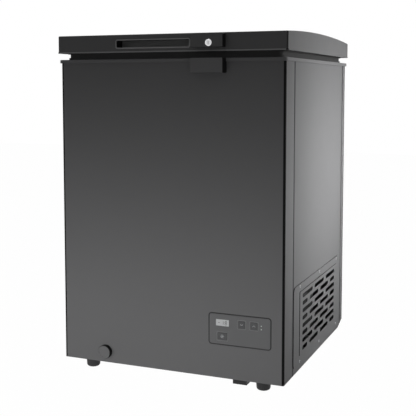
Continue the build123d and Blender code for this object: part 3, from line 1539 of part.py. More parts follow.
def main():
    """Builds every piece and writes it to the parts folder."""
    os.makedirs("parts", exist_ok=True)
    plate_top = RIM_TOP - RIM_SKIRT - SLEEVE
    pieces = {
        "outer_shell": build_outer_shell(),
        "back_panel": build_back_panel(),
        "cable_gland": build_cable_gland(),
        "base_pan": build_base_pan(),
        "compressor_tray": build_compressor_tray(),
        "bay_partition": build_bay_partition(),
        "inner_liner": build_inner_liner(),
        "top_rim": build_top_rim(),
        "wall_foam": build_foam(),
        "evaporator_coil": build_coil(
            *evaporator_size(), EVAPORATOR_LOW, EVAPORATOR_PITCH, EVAPORATOR_TURNS
        ),
        "condenser_coil": build_coil(
            *condenser_size(), CONDENSER_LOW, CONDENSER_PITCH, CONDENSER_TURNS
        ),
        "drain_pipe": build_drain_pipe(),
        "drain_spout": build_drain_spout(),
        "drain_cap": build_drain_cap(),
        "inner_drain_plug": build_inner_plug(),
        "panel_frame": build_panel_frame(),
        "panel_fascia": build_panel_fascia(),
        "control_box": build_control_box(),
        "circuit_board": build_circuit_board(),
        "display": build_display(),
        "indicator_lamps": build_lamps(),
        "side_grille": build_grille(),
        "grille_screws": build_grille_screws(),
        "foot_sockets": build_foot_sockets(),
        "compressor": build_compressor(),
        "compressor_grommets": build_grommets(),
        "compressor_bolts": build_mount_bolts(),
        "starter_box": build_starter_box(),
        "suction_pipe": build_pipe(SUCTION_X, SUCTION_LIFT, SUCTION_RUN),
        "discharge_pipe": build_pipe(DISCHARGE_X, DISCHARGE_LIFT, DISCHARGE_RUN),
        "filter_dryer": build_filter_dryer(),
        "lock_keeper": build_keeper(),
        "lock_housing": build_lock_housing(),
        "lock_ring": build_lock_ring(),
        "lock_barrel": build_lock_barrel(),
        "lock_cam": build_lock_cam(),
        "lid_shell": build_lid_shell(),
        "grip_cup": build_grip_cup(),
        "lid_liner": build_lid_liner(),
        "lid_foam": build_lid_foam(),
        "lid_seal": build_lid_seal(),
        "fixed_leaf_screws": build_hinge_screws(
            (plate_top - LEAF_H + LEAF_MARGIN, plate_top - LEAF_MARGIN), BACK_Y + LEAF_T
        ),
        "lid_leaf_screws": build_hinge_screws(
            (LID_SKIRT_Z + LID_LEAF_LIFT + LID_LEAF_H / 2,), LID_BACK_Y + LEAF_T
        ),
        "basket_frame": build_basket_frame(),
        "basket_hooks": build_basket_hooks(),
        "basket_cross_wires": build_basket_cross_wires(),
        "basket_long_wires": build_basket_long_wires(),
    }
    for name, sizes in KEYS.items():
        pieces[name] = build_key(*sizes)
    for name, place in foot_places().items():
        pieces[f"{name}_foot"] = build_foot(place)
    for name, side in {"left": -1, "right": 1}.items():
        pieces[f"{name}_hinge_leaf"] = build_hinge_leaf(side)
        pieces[f"{name}_lid_leaf"] = build_lid_leaf(side)
        pieces[f"{name}_hinge_pin"] = build_hinge_pin(side)
    for name, part in pieces.items():
        export(part, name)
    print(len(pieces), "pieces written")


main()
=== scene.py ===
"""Looks for a small chest freezer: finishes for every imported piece, printed details, and a studio."""

import logging
import math
from dataclasses import dataclass, replace
from enum import Enum
from typing import Any, ClassVar

import bpy
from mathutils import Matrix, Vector

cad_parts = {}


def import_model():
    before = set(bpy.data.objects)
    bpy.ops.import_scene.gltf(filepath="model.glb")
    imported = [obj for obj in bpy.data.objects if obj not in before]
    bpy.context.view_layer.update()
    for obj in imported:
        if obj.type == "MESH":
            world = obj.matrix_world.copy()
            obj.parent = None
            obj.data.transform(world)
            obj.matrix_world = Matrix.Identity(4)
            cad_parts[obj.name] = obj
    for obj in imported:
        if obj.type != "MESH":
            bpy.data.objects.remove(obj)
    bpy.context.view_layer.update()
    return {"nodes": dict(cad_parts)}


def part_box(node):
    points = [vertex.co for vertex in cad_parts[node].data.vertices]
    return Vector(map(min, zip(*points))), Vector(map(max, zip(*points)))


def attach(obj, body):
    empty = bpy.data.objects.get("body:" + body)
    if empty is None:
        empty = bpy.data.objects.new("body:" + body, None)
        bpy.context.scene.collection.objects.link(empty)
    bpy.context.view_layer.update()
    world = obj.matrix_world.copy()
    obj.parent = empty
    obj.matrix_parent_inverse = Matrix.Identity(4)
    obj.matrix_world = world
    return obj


LOG = logging.getLogger("chest_freezer")
MM = 0.001
SOLID_GAP = 6 * MM
Colour = tuple[float, float, float]
Point = tuple[float, float, float]
Plan = tuple[tuple[str, float, float], tuple[str, float, float]]
Stops = list[tuple[float, float]]


class Grain(Enum):
    """The kind of fine surface that a finish has."""

    SMOOTH = "smooth"
    BRUSHED = "brushed"
    PEBBLED = "pebbled"
    DIMPLED = "dimpled"
    FOAMED = "foamed"


class Sock:
    """One output socket that can be used in Python expressions."""

    def __init__(self, web: "Web", socket: bpy.types.NodeSocket) -> None:
        """Keeps the socket and the node web that it belongs to."""
        self.web = web
        self.socket = socket

    def _math(self, operation: str, first: Any, second: Any) -> "Sock":
        """Adds one Math node.

        Args:
            operation: The Math node's operation.
            first: The left-hand value or socket.
            second: The right-hand value or socket.

        Returns:
            The node's result.
        """
        node = self.web.node("ShaderNodeMath", {"operation": operation}, {0: first, 1: second})
        return self.web.out(node, 0)

    def __add__(self, other: Any) -> "Sock":
        """This value plus another."""
        return self._math("ADD", self, other)

    def __radd__(self, other: Any) -> "Sock":
        """Another value plus this one."""
        return self._math("ADD", other, self)

    def __sub__(self, other: Any) -> "Sock":
        """This value less another."""
        return self._math("SUBTRACT", self, other)

    def __rsub__(self, other: Any) -> "Sock":
        """Another value less this one."""
        return self._math("SUBTRACT", other, self)

    def __mul__(self, other: Any) -> "Sock":
        """This value times another."""
        return self._math("MULTIPLY", self, other)

    def __rmul__(self, other: Any) -> "Sock":
        """Another value times this one."""
        return self._math("MULTIPLY", other, self)

    def __pow__(self, other: Any) -> "Sock":
        """This value raised to a power."""
        return self._math("POWER", self, other)


class Web:
    """A node tree that is built up by expressions and by one node-making method."""

    MIX_INPUTS = {"Factor": 0, "A": 6, "B": 7}
    MIX_RESULT = 2

    def __init__(self, tree: bpy.types.NodeTree) -> None:
        """Takes over a tree and removes what is in it."""
        self.tree = tree
        self.tree.nodes.clear()

    def node(self, kind: str, settings: dict[str, Any], values: dict[Any, Any]) -> bpy.types.Node:
        """Adds a node, sets it up and fills or links its inputs.

        Args:
            kind: The node's type.
            settings: Properties of the node; "stops" gives a ramp its places and colours.
            values: Input values or sockets, by input name or number.

        Returns:
            The new node.
        """
        node = self.tree.nodes.new(kind)
        for name, value in settings.items():
            if name == "stops":
                self._set_stops(node, value)
            else:
                setattr(node, name, value)
        for name, value in values.items():
            if isinstance(value, Sock):
                self.tree.links.new(value.socket, node.inputs[name])
            else:
                node.inputs[name].default_value = value
        return node

    @staticmethod
    def _set_stops(node: bpy.types.Node, stops: Stops) -> None:
        """Gives a colour ramp its grey stops.

        Args:
            node: The ramp.
            stops: A place and a level for each stop.
        """
        for element, (place, level) in zip(node.color_ramp.elements, stops):
            element.position = place
            element.color = (level, level, level, 1.0)

    def out(self, node: bpy.types.Node, name: Any) -> Sock:
        """One output of a node, ready for expressions."""
        return Sock(self, node.outputs[name])

    def object_place(self, stretch: Point = (1.0, 1.0, 1.0)) -> Sock:
        """Object coordinates.

        Args:
            stretch: A factor for each axis.

        Returns:
            The stretched place of each point.
        """
        coordinates = self.node("ShaderNodeTexCoord", {}, {})
        mapping = self.node(
            "ShaderNodeMapping",
            {},
            {"Vector": self.out(coordinates, "Object"), "Scale": stretch},
        )
        return self.out(mapping, "Vector")

    def noise(self, place: Sock, scale: float, detail: float) -> Sock:
        """A soft noise.

        Args:
            place: Where it is read.
            scale: Its cells to the metre.
            detail: How many finer layers are added to it.

        Returns:
            A value between 0 and 1.
        """
        node = self.node(
            "ShaderNodeTexNoise", {}, {"Vector": place, "Scale": scale, "Detail": detail}
        )
        return self.out(node, 0)

    def cells(self, place: Sock, scale: float) -> Sock:
        """Distance to the nearest of a field of scattered points."""
        node = self.node("ShaderNodeTexVoronoi", {}, {"Vector": place, "Scale": scale})
        return self.out(node, "Distance")

    def size(self, value: Sock) -> Sock:
        """A value without its sign."""
        return self.out(self.node("ShaderNodeMath", {"operation": "ABSOLUTE"}, {0: value}), 0)

    def ramp(self, value: Sock, stops: Stops) -> Sock:
        """A value read off a ramp between two grey stops."""
        return self.out(self.node("ShaderNodeValToRGB", {"stops": stops}, {0: value}), 0)

    def blend(self, factor: Any, low: Any, high: Any) -> Sock:
        """A colour between two others, through the Mix node's colour sockets.

        Args:
            factor: The share of the second colour.
            low: The colour at a factor of 0.
            high: The colour at a factor of 1.

        Returns:
            The mixed colour.
        """
        values = {"Factor": factor, "A": low, "B": high}
        node = self.node(
            "ShaderNodeMix",
            {"data_type": "RGBA"},
            {self.MIX_INPUTS[name]: value for name, value in values.items()},
        )
        return self.out(node, self.MIX_RESULT)

    @staticmethod
    def rgba(colour: Colour, level: float = 1.0) -> tuple[float, float, float, float]:
        """A colour at some level, with full alpha."""
        return (colour[0] * level, colour[1] * level, colour[2] * level, 1.0)


@dataclass(frozen=True)
class Finish:
    """A surface finish: a colour with slow variation, a fine grain, handling marks in its gloss, and any
    painted shade and painted highlight that are set on it.
    """

    DARK_TONE: ClassVar[float] = 0.7
    PALE_TONE: ClassVar[float] = 1.3
    # Levels, as shares of the colour, of painted shade, of the painted highlight on a lip and of the
    # painted shade in creases.
    PAINTED_SHADE_LEVEL: ClassVar[float] = 0.05
    LIP_HIGHLIGHT_LEVEL: ClassVar[float] = 2.6
    CREASE_SHADE_LEVEL: ClassVar[float] = 0.1
    CREASE_SHADE_SHARE: ClassVar[float] = 0.7
    GRAIN_STRENGTH: ClassVar[float] = 0.6
    WEAR_SCALE: ClassVar[float] = 3.0
    CORNER_SHADE_STOPS: ClassVar[Stops] = [(0.75, 1.0), (1.0, 0.0)]
    SIDE_SHADE_STOPS: ClassVar[Stops] = [(0.3, 1.0), (0.7, 0.0)]
    FOAM_CELLS: ClassVar[float] = 0.7
    PEBBLE_CELLS: ClassVar[float] = 0.4
    DRIFT_DETAIL: ClassVar[float] = 4.0
    WEAR_DETAIL: ClassVar[float] = 5.0
    GRAIN_DETAIL: ClassVar[float] = 2.0
    PEBBLE_DETAIL: ClassVar[float] = 3.0

    name: str
    colour: Colour
    roughness: float
    grain: Grain
    metallic: float = 0.0
    coat: float = 0.0
    coat_roughness: float = 0.12
    specular: float = 0.5
    grain_scale: float = 900.0
    grain_depth: float = 0.00005
    tone: float = 0.06
    tone_scale: float = 7.0
    gloss_change: float = 0.08
    glow: float = 0.0
    brush_stretch: Point = (1.0, 1.0, 0.02)
    unshaded_axis: str = ""
    lip_highlight_top: float | None = None
    corner_shade_plan: Plan | None = None
    corner_shade_width: float = 6.0 * MM
    creases: tuple[float, ...] = ()
    crease_half_w: float = 8.0 * MM
    crease_depth: float = 1.2 * MM

    def material(self) -> bpy.types.Material:
        """Makes the finish's material.

        Returns:
            A material that varies over Object coordinates.
        """
        material = bpy.data.materials.new(self.name)
        material.use_nodes = True
        web = Web(material.node_tree)
        place = web.object_place()
        grain = self._grain(web, place)
        groove = self._groove(web, place) if self.creases else None
        wear = web.noise(place, self.WEAR_SCALE * self.tone_scale, self.WEAR_DETAIL)
        values: dict[Any, Any] = {
            "Base Color": self._colour(web, place, grain, groove),
            "Roughness": wear * self.gloss_change + (self.roughness - 0.5 * self.gloss_change),
            "Metallic": self.metallic,
            "Coat Weight": self.coat,
            "Coat Roughness": self.coat_roughness,
            "Specular IOR Level": self.specular,
            "Normal": self._relief(web, grain, groove),
        }
        if self.glow:
            values["Emission Color"] = web.rgba(self.colour)
            values["Emission Strength"] = self.glow
        shader = web.node("ShaderNodeBsdfPrincipled", {}, values)
        web.node("ShaderNodeOutputMaterial", {}, {"Surface": web.out(shader, 0)})
        return material

    def _colour(self, web: Web, place: Sock, grain: Sock, groove: Sock | None) -> Sock:
        """The base colour, with slow drift, grain, and the painted shade and painted highlight that the
        finish sets.

        Args:
            web: The material's nodes.
            place: Object coordinates.
            grain: The fine grain's height.
            groove: The creases' share, if there are any.

        Returns:
            The colour.
        """
        drift = web.noise(place, self.tone_scale, self.DRIFT_DETAIL)
        fine = (grain - 0.5) * (0.5 * self.tone) + drift * self.tone
        colour = web.blend(
            fine + (0.5 - 0.5 * self.tone),
            web.rgba(self.colour, self.DARK_TONE),
            web.rgba(self.colour, self.PALE_TONE),
        )
        # Near-black for painted shade on turned-away faces and along upright corners.
        painted_shade_colour = web.rgba(self.colour, self.PAINTED_SHADE_LEVEL)
        # Painted shade on faces turned away from the unshaded axis, such as edges and slot walls.
        if self.unshaded_axis:
            colour = web.blend(self._side_shade(web), colour, painted_shade_colour)
        # Painted highlight in a paler band along the lip at the piece's foot.
        if self.lip_highlight_top is not None:
            lip = self._lip_highlight(web, place, self.lip_highlight_top)
            colour = web.blend(lip, colour, web.rgba(self.colour, self.LIP_HIGHLIGHT_LEVEL))
        # Painted shade in a dark line down the piece's upright corners.
        if self.corner_shade_plan:
            colour = web.blend(self._painted_corner_shade(web, place, self.corner_shade_plan), colour, painted_shade_colour)
        # Painted shade along the creases, darkest in their middles.
        if groove is not None:
            shaded = web.rgba(self.colour, self.CREASE_SHADE_LEVEL)
            colour = web.blend(groove * self.CREASE_SHADE_SHARE, colour, shaded)
        return colour

    def _relief(self, web: Web, grain: Sock, groove: Sock | None) -> Sock:
        """The surface's direction, with the fine grain and any creases.

        Args:
            web: The material's nodes.
            grain: The fine grain's height.
            groove: The creases' share, if there are any.

        Returns:
            The direction.
        """
        values: dict[Any, Any] = {
            "Height": grain,
            "Distance": self.grain_depth,
            "Strength": self.GRAIN_STRENGTH,
        }
        if groove is not None:
            pressed = {"Height": 1 - groove, "Distance": self.crease_depth}
            values["Normal"] = web.out(web.node("ShaderNodeBump", {}, pressed), 0)
        return web.out(web.node("ShaderNodeBump", {}, values), 0)

    def _groove(self, web: Web, place: Sock) -> Sock:
        """The share of the pressed upright creases, used for their bump and their painted shade.

        Args:
            web: The material's nodes.
            place: Object coordinates.

        Returns:
            One along the middle of each crease, falling to zero at its edges.
        """
        split = web.node("ShaderNodeSeparateXYZ", {}, {0: place})
        depth = web.out(split, "Y")
        groove: Any = 0.0
        for crease in self.creases:
            share = 1 - web.size(depth - crease) * (1 / self.crease_half_w)
            kept = web.node("ShaderNodeMath", {"operation": "MAXIMUM"}, {0: share, 1: 0.0})
            groove = web.out(kept, 0) + groove
        return groove

    def _painted_corner_shade(self, web: Web, place: Sock, plan: Plan) -> Sock:
        """Painted shade: a dark line along the upright corners of a piece.

        Args:
            web: The material's nodes.
            place: Object coordinates.
            plan: The piece's plan.

        Returns:
            One along the corners, and zero from a line's width away from them.
        """
        split = web.node("ShaderNodeSeparateXYZ", {}, {0: place})
        gap: Any = 0.0
        for axis, middle, half in plan:
            gap = (half - web.size(web.out(split, axis) - middle)) + gap
        return web.ramp(gap * (1 / self.corner_shade_width), self.CORNER_SHADE_STOPS)

    @staticmethod
    def _lip_highlight(web: Web, place: Sock, top: float) -> Sock:
        """Painted highlight: a paler band along the lip at a piece's foot.

        Args:
            web: The material's nodes.
            place: Object coordinates.
            top: The height of the lip's upper edge.

        Returns:
            One on the front and back faces below that height, and zero elsewhere.
        """
        facing = web.node("ShaderNodeTexCoord", {}, {})
        normal = web.node("ShaderNodeSeparateXYZ", {}, {0: web.out(facing, "Normal")})
        split = web.node("ShaderNodeSeparateXYZ", {}, {0: place})
        height = web.out(split, "Z")
        below = web.node("ShaderNodeMath", {"operation": "LESS_THAN"}, {0: height, 1: top})
        return web.out(normal, "Y") ** 2 * web.out(below, 0)

    def _side_shade(self, web: Web) -> Sock:
        """Painted shade on the faces that are turned away from the unshaded faces' axis, such as the
        edges of a plate.

        Args:
            web: The material's nodes.

        Returns:
            One on such faces, and zero on the unshaded ones.
        """
        facing = web.node("ShaderNodeTexCoord", {}, {})
        split = web.node("ShaderNodeSeparateXYZ", {}, {0: web.out(facing, "Normal")})
        return web.ramp(web.out(split, self.unshaded_axis) ** 2, self.SIDE_SHADE_STOPS)

    def _grain(self, web: Web, place: Sock) -> Sock:
        """The fine grain.

        Args:
            web: The material's nodes.
            place: Object coordinates.

        Returns:
            The grain's height, between 0 and 1.
        """
        if self.grain is Grain.BRUSHED:
            brushed = web.object_place(self.brush_stretch)
            return web.noise(brushed, self.grain_scale, self.GRAIN_DETAIL)
        if self.grain is Grain.DIMPLED:
            return web.cells(place, self.grain_scale)
        if self.grain is Grain.FOAMED:
            return self._speckle(web, place, self.FOAM_CELLS, self.GRAIN_DETAIL)
        if self.grain is Grain.PEBBLED:
            return self._speckle(web, place, self.PEBBLE_CELLS, self.PEBBLE_DETAIL)
        return web.noise(place, self.grain_scale, self.GRAIN_DETAIL)

    def _speckle(self, web: Web, place: Sock, share: float, detail: float) -> Sock:
        """Scattered cells, by their share, over a soft noise of some detail."""
        cells = web.cells(place, self.grain_scale)
        return cells * share + web.noise(place, self.grain_scale, detail) * (1 - share)


CABINET_COAT = Finish(
    "graphite_coated_sheet",
    (0.2, 0.2, 0.203),
    0.5,
    Grain.BRUSHED,
    specular=0.02,
    grain_scale=1500.0,
    grain_depth=0.00002,
    tone=0.05,
)
LID_COAT = Finish(
    "graphite_lid_moulding",
    (0.142, 0.142, 0.144),
    0.45,
    Grain.PEBBLED,
    specular=0.1,
    grain_scale=1400.0,
    grain_depth=0.00002,
    tone=0.05,
)
GREY_MOULDING = Finish(
    "graphite_moulding",
    (0.19, 0.19, 0.193),
    0.5,
    Grain.PEBBLED,
    specular=0.1,
    grain_scale=1600.0,
    grain_depth=0.00003,
)
BLACK_MOULDING = Finish(
    "black_moulding",
    (0.05, 0.05, 0.051),
    0.5,
    Grain.PEBBLED,
    grain_scale=1600.0,
    grain_depth=0.00004,
    specular=0.15,
)
# The grip cup's top, bottom and end walls take painted shade; its back wall keeps this pale grey.
GRIP_LINING = Finish(
    "grip_lining",
    (0.42, 0.42, 0.423),
    0.45,
    Grain.PEBBLED,
    specular=0.15,
    grain_scale=1500.0,
    grain_depth=0.00004,
    unshaded_axis="Y",
)
PANEL_FACE = Finish(
    "panel_face",
    (0.16, 0.161, 0.164),
    0.42,
    Grain.PEBBLED,
    grain_scale=1800.0,
    grain_depth=0.00002,
    specular=0.15,
)
KEY_TOP = Finish(
    "key_top",
    (0.1, 0.101, 0.104),
    0.5,
    Grain.PEBBLED,
    grain_scale=2200.0,
    grain_depth=0.00003,
    specular=0.2,
)
SEAL_RUBBER = Finish(
    "seal_rubber",
    (0.014, 0.014, 0.014),
    0.7,
    Grain.PEBBLED,
    grain_scale=1200.0,
    grain_depth=0.00006,
    specular=0.3,
)
TANK_SHEET = Finish(
    "dimpled_tank_sheet",
    (0.78, 0.79, 0.8),
    0.34,
    Grain.DIMPLED,
    metallic=0.75,
    grain_scale=260.0,
    grain_depth=0.0003,
    tone=0.08,
)
LID_LINING = Finish(
    "white_lid_lining",
    (0.76, 0.76, 0.74),
    0.3,
    Grain.SMOOTH,
    coat=0.2,
    grain_scale=220.0,
)
PLATED_STEEL = Finish(
    "zinc_plated_steel",
    (0.52, 0.53, 0.54),
    0.38,
    Grain.BRUSHED,
    metallic=1.0,
    grain_scale=1400.0,
    grain_depth=0.00003,
    tone=0.18,
    tone_scale=40.0,
    brush_stretch=(0.05, 1.0, 1.0),
)
BRIGHT_PLATE = Finish(
    "bright_plate", (0.86, 0.86, 0.87), 0.14, Grain.SMOOTH, metallic=1.0, grain_depth=0.00001, tone=0.03
)
BARREL_STEEL = Finish(
    "barrel_steel", (0.62, 0.62, 0.63), 0.3, Grain.BRUSHED, metallic=1.0, grain_depth=0.00001, tone=0.05
)
FOAM = Finish(
    "rigid_foam",
    (0.74, 0.63, 0.36),
    0.9,
    Grain.FOAMED,
    grain_scale=700.0,
    grain_depth=0.0004,
    tone=0.2,
)
COPPER = Finish(
    "drawn_copper", (0.3, 0.15, 0.09), 0.5, Grain.BRUSHED, metallic=1.0, tone=0.2, tone_scale=30.0
)
BLACK_ENAMEL = Finish(
    "black_enamel", (0.02, 0.02, 0.021), 0.5, Grain.SMOOTH, coat=0.1, grain_scale=500.0, specular=0.2
)
BOARD = Finish("circuit_board_lacquer", (0.03, 0.14, 0.06), 0.4, Grain.SMOOTH, coat=0.2, tone=0.2)
DISPLAY_FACE = Finish("display_face", (0.6, 0.61, 0.62), 0.25, Grain.SMOOTH, coat=0.5, tone=0.04)
SEGMENT_INK = Finish("segment_ink", (0.1, 0.102, 0.105), 0.4, Grain.SMOOTH, tone=0.05)
ICON_INK = Finish("icon_ink", (0.56, 0.57, 0.58), 0.45, Grain.SMOOTH, tone=0.05)
OUTLINE_INK = Finish("outline_ink", (0.3, 0.302, 0.305), 0.45, Grain.SMOOTH, tone=0.05)
# Near-black that stands for the shade in a recess, such as a screw's driver cross.
RECESS_SHADE = Finish("painted_recess_shade", (0.006, 0.006, 0.006), 0.7, Grain.SMOOTH, tone=0.05)
LAMP_LENS = Finish("lamp_lens", (0.55, 0.6, 0.57), 0.25, Grain.SMOOTH, coat=0.4, glow=0.15, tone=0.05)
COATED_WIRE = Finish(
    "white_coated_wire",
    (0.8, 0.8, 0.79),
    0.32,
    Grain.SMOOTH,
    coat=0.3,
    grain_scale=400.0,
)


class Finishes:
    """Makes each finish's material once and hands it out."""

    def __init__(self) -> None:
        """Starts with no material made."""
        self._made: dict[str, bpy.types.Material] = {}

    def apply(self, obj: bpy.types.Object, finish: Finish) -> None:
        """Puts a finish on an object as its only material.

        Args:
            obj: The object to dress.
            finish: The finish to give it.
        """
        if finish.name not in self._made:
            self._made[finish.name] = finish.material()
        obj.data.materials.clear()
        obj.data.materials.append(self._made[finish.name])


class Bench:
    """Models small pieces with operators, as by hand, and leaves each at the origin."""

    BEVEL_SHARE = 0.49

    @staticmethod
    def clear() -> None:
        """Deselects everything, so that operators act on the new piece alone."""
        if bpy.context.object and bpy.context.object.mode != "OBJECT":
            bpy.ops.object.mode_set(mode="OBJECT")
        bpy.ops.object.select_all(action="DESELECT")

    @classmethod
    def join(cls, pieces: list[bpy.types.Object], name: str) -> bpy.types.Object:
        """Joins several pieces into one, applies its place and faces it outwards.

        Args:
            pieces: The pieces, the first of which takes in the rest.
            name: The joined piece's name.

        Returns:
            The joined piece, at the origin with its place in its mesh.
        """
        cls.clear()
        for piece in pieces:
            piece.select_set(True)
        bpy.context.view_layer.objects.active = pieces[0]
        bpy.ops.object.join()
        joined = bpy.context.object
        joined.name = name
        joined.data.name = name
        bpy.ops.object.transform_apply(location=True, rotation=True, scale=True)
        bpy.ops.object.mode_set(mode="EDIT")
        bpy.ops.mesh.select_all(action="SELECT")
        bpy.ops.mesh.normals_make_consistent(inside=False)
        bpy.ops.object.mode_set(mode="OBJECT")
        return joined

    @classmethod
    def bar(
        cls, centre: Point, length: float, width: float, depth: float, turn: float, heading: float = 0.0
    ) -> bpy.types.Object:
        """A flat bar with pointed ends, bevelled on every edge.

        Args:
            centre: The bar's middle.
            length: Its length.
            width: Its width.
            depth: Its depth from front to back, before the bevel.
            turn: Its turn in its own plane, in radians, from lying level.
            heading: Its turn about the upright axis, in radians, from facing the front.

        Returns:
            The bar.
        """
        cls.clear()
        bpy.ops.mesh.primitive_cube_add(size=1.0, location=(0, 0, 0))
        bar = bpy.context.object
        bar.scale = (length, depth, width)
        bpy.ops.object.transform_apply(location=False, rotation=False, scale=True)
        # Every edge is bevelled, by more than half the depth, so the front and back faces pass each other
        bpy.ops.object.mode_set(mode="EDIT")
        bpy.ops.mesh.select_mode(type="EDGE")
        bpy.ops.mesh.bevel(offset=cls.BEVEL_SHARE * width, segments=1)
        bpy.ops.object.mode_set(mode="OBJECT")
        bar.rotation_euler = (0, -turn, heading)
        bar.location = centre
        return bar


@dataclass
class Dresser:
    """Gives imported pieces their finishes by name, and puts new pieces on their bodies."""

    nodes: dict[str, bpy.types.Object]
    finishes: Finishes

    def dress(self, finish: Finish, *names: str) -> None:
        """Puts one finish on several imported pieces.

        Args:
            finish: The finish.
            names: The pieces' names.
        """
        for name in names:
            self.finishes.apply(self.nodes[name], finish)
            LOG.info("%s dressed in %s", name, finish.name)

    def add(self, piece: bpy.types.Object, finish: Finish, body: str, slot: str) -> None:
        """Dresses a new piece and lets it ride on a body.

        Args:
            piece: The new piece.
            finish: Its finish.
            body: The body that carries it.
            slot: The name of a material slot; not used.
        """
        self.finishes.apply(piece, finish)
        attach(piece, body)
        LOG.info("%s added to %s", piece.name, body)


def plan_of(name: str) -> Plan:
    """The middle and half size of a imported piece's plan along each axis.

    Args:
        name: The piece's name.

    Returns:
        An axis, a middle and a half size for X and for Y.
    """
    low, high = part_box(name)
    middle = (low + high) / 2
    half = (high - low) / 2
    return ("X", middle.x, half.x), ("Y", middle.y, half.y)


def solid_centres(name: str, nodes: dict[str, bpy.types.Object]) -> list[Vector]:
    """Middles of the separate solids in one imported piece.

    Args:
        name: The piece's name.
        nodes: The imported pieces.

    Returns:
        One point for each solid.
    """
    groups: list[tuple[Vector, Vector]] = []
    for vertex in nodes[name].data.vertices:
        for low, high in groups:
            inside = all(low[i] - SOLID_GAP < vertex.co[i] < high[i] + SOLID_GAP for i in range(3))
            if inside:
                for i in range(3):
                    low[i] = min(low[i], vertex.co[i])
                    high[i] = max(high[i], vertex.co[i])
                break
        else:
            groups.append((vertex.co.copy(), vertex.co.copy()))
    return [(low + high) / 2 for low, high in groups]


@dataclass
class Cabinet:
    """The insulated box, its machine bay, drain and feet."""

    dresser: Dresser
    cross_l: float = 4.2 * MM
    cross_w: float = 1.0 * MM
    cross_depth: float = 0.3 * MM
    cross_sink: float = 0.4
    crease_from_front: float = 69.0 * MM
    crease_from_back: float = 30.0 * MM

    def dress(self) -> None:
        """Gives every fixed piece of the cabinet its finish."""
        dress = self.dresser.dress
        low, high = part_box("outer_shell")
        creases = (low.y + self.crease_from_front, high.y - self.crease_from_back)
        # The creases get a bump and painted shade.
        creased = replace(CABINET_COAT, name="creased_graphite_sheet", creases=creases)
        # Painted shade in a dark line down the shell's upright corners.
        dress(replace(creased, corner_shade_plan=plan_of("outer_shell")), "outer_shell")
        dress(CABINET_COAT, "back_panel")
        # Painted shade on the grille's edges and slot walls.
        dress(replace(CABINET_COAT, name="painted_edge_shade_sheet", unshaded_axis="X"), "side_grille")
        # Painted shade on the ends and edges of the lock keeper and drain cap.
        painted_edge_shade = replace(GREY_MOULDING, name="painted_edge_shade_moulding", unshaded_axis="Y")
        dress(painted_edge_shade, "lock_keeper", "drain_cap")
        dress(GREY_MOULDING, "top_rim", "drain_spout")
        dress(BLACK_MOULDING, "starter_box")
        for end in ("front", "back"):
            dress(BLACK_MOULDING, f"{end}_left_foot", f"{end}_right_foot")
        dress(TANK_SHEET, "inner_liner")
        dress(LID_LINING, "drain_pipe")
        dress(SEAL_RUBBER, "inner_drain_plug", "cable_gland", "compressor_grommets")
        dress(PLATED_STEEL, "base_pan", "foot_sockets", "compressor_bolts", "grille_screws")
        dress(BLACK_ENAMEL, "bay_partition", "compressor", "compressor_tray")
        dress(COPPER, "evaporator_coil", "condenser_coil", "filter_dryer")
        dress(COPPER, "suction_pipe", "discharge_pipe")
        dress(FOAM, "wall_foam")

    def build_screw_crosses(self) -> None:
        """Adds the driver's cross to each of the grille's screw heads, as near-black bars of painted
        shade.
        """
        _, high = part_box("grille_screws")
        size = (self.cross_l, self.cross_w, self.cross_depth)
        bars = []
        for place in solid_centres("grille_screws", self.dresser.nodes):
            centre = (high.x - self.cross_sink * self.cross_depth, place.y, place.z)
            for turn in (math.pi / 4, -math.pi / 4):
                bars.append(Bench.bar(centre, *size, turn, heading=math.pi / 2))
        crosses = Bench.join(bars, "grille_screw_crosses")
        self.dresser.add(crosses, RECESS_SHADE, "cabinet", "plated_steel")


@dataclass
class Lid:
    """The hinged lid with its seal, grip, lock and hinge halves."""

    dresser: Dresser
    lip_h: float = 3.0 * MM

    def dress(self) -> None:
        """Gives every piece of the lid, the lock and the hinges its finish."""
        dress = self.dresser.dress
        low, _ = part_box("lid_shell")
        # Painted highlight along the lid's lip, and painted shade in a dark line down its corners.
        shade_and_highlight = replace(LID_COAT, name="shade_and_highlight_lid_moulding", lip_highlight_top=low.z + self.lip_h)
        dress(replace(shade_and_highlight, corner_shade_plan=plan_of("lid_shell")), "lid_shell")
        dress(GRIP_LINING, "grip_cup")
        dress(LID_LINING, "lid_liner")
        dress(FOAM, "lid_foam")
        dress(SEAL_RUBBER, "lid_seal")
        # Painted shade on the lock housing's ends and edges.
        dress(replace(LID_COAT, name="painted_edge_shade_lid_moulding", unshaded_axis="Y"), "lock_housing")
        dress(BRIGHT_PLATE, "lock_ring")
        dress(BARREL_STEEL, "lock_barrel")
        dress(PLATED_STEEL, "lock_cam", "fixed_leaf_screws", "lid_leaf_screws")
        for side in ("left", "right"):
            dress(PLATED_STEEL, f"{side}_hinge_leaf", f"{side}_lid_leaf", f"{side}_hinge_pin")


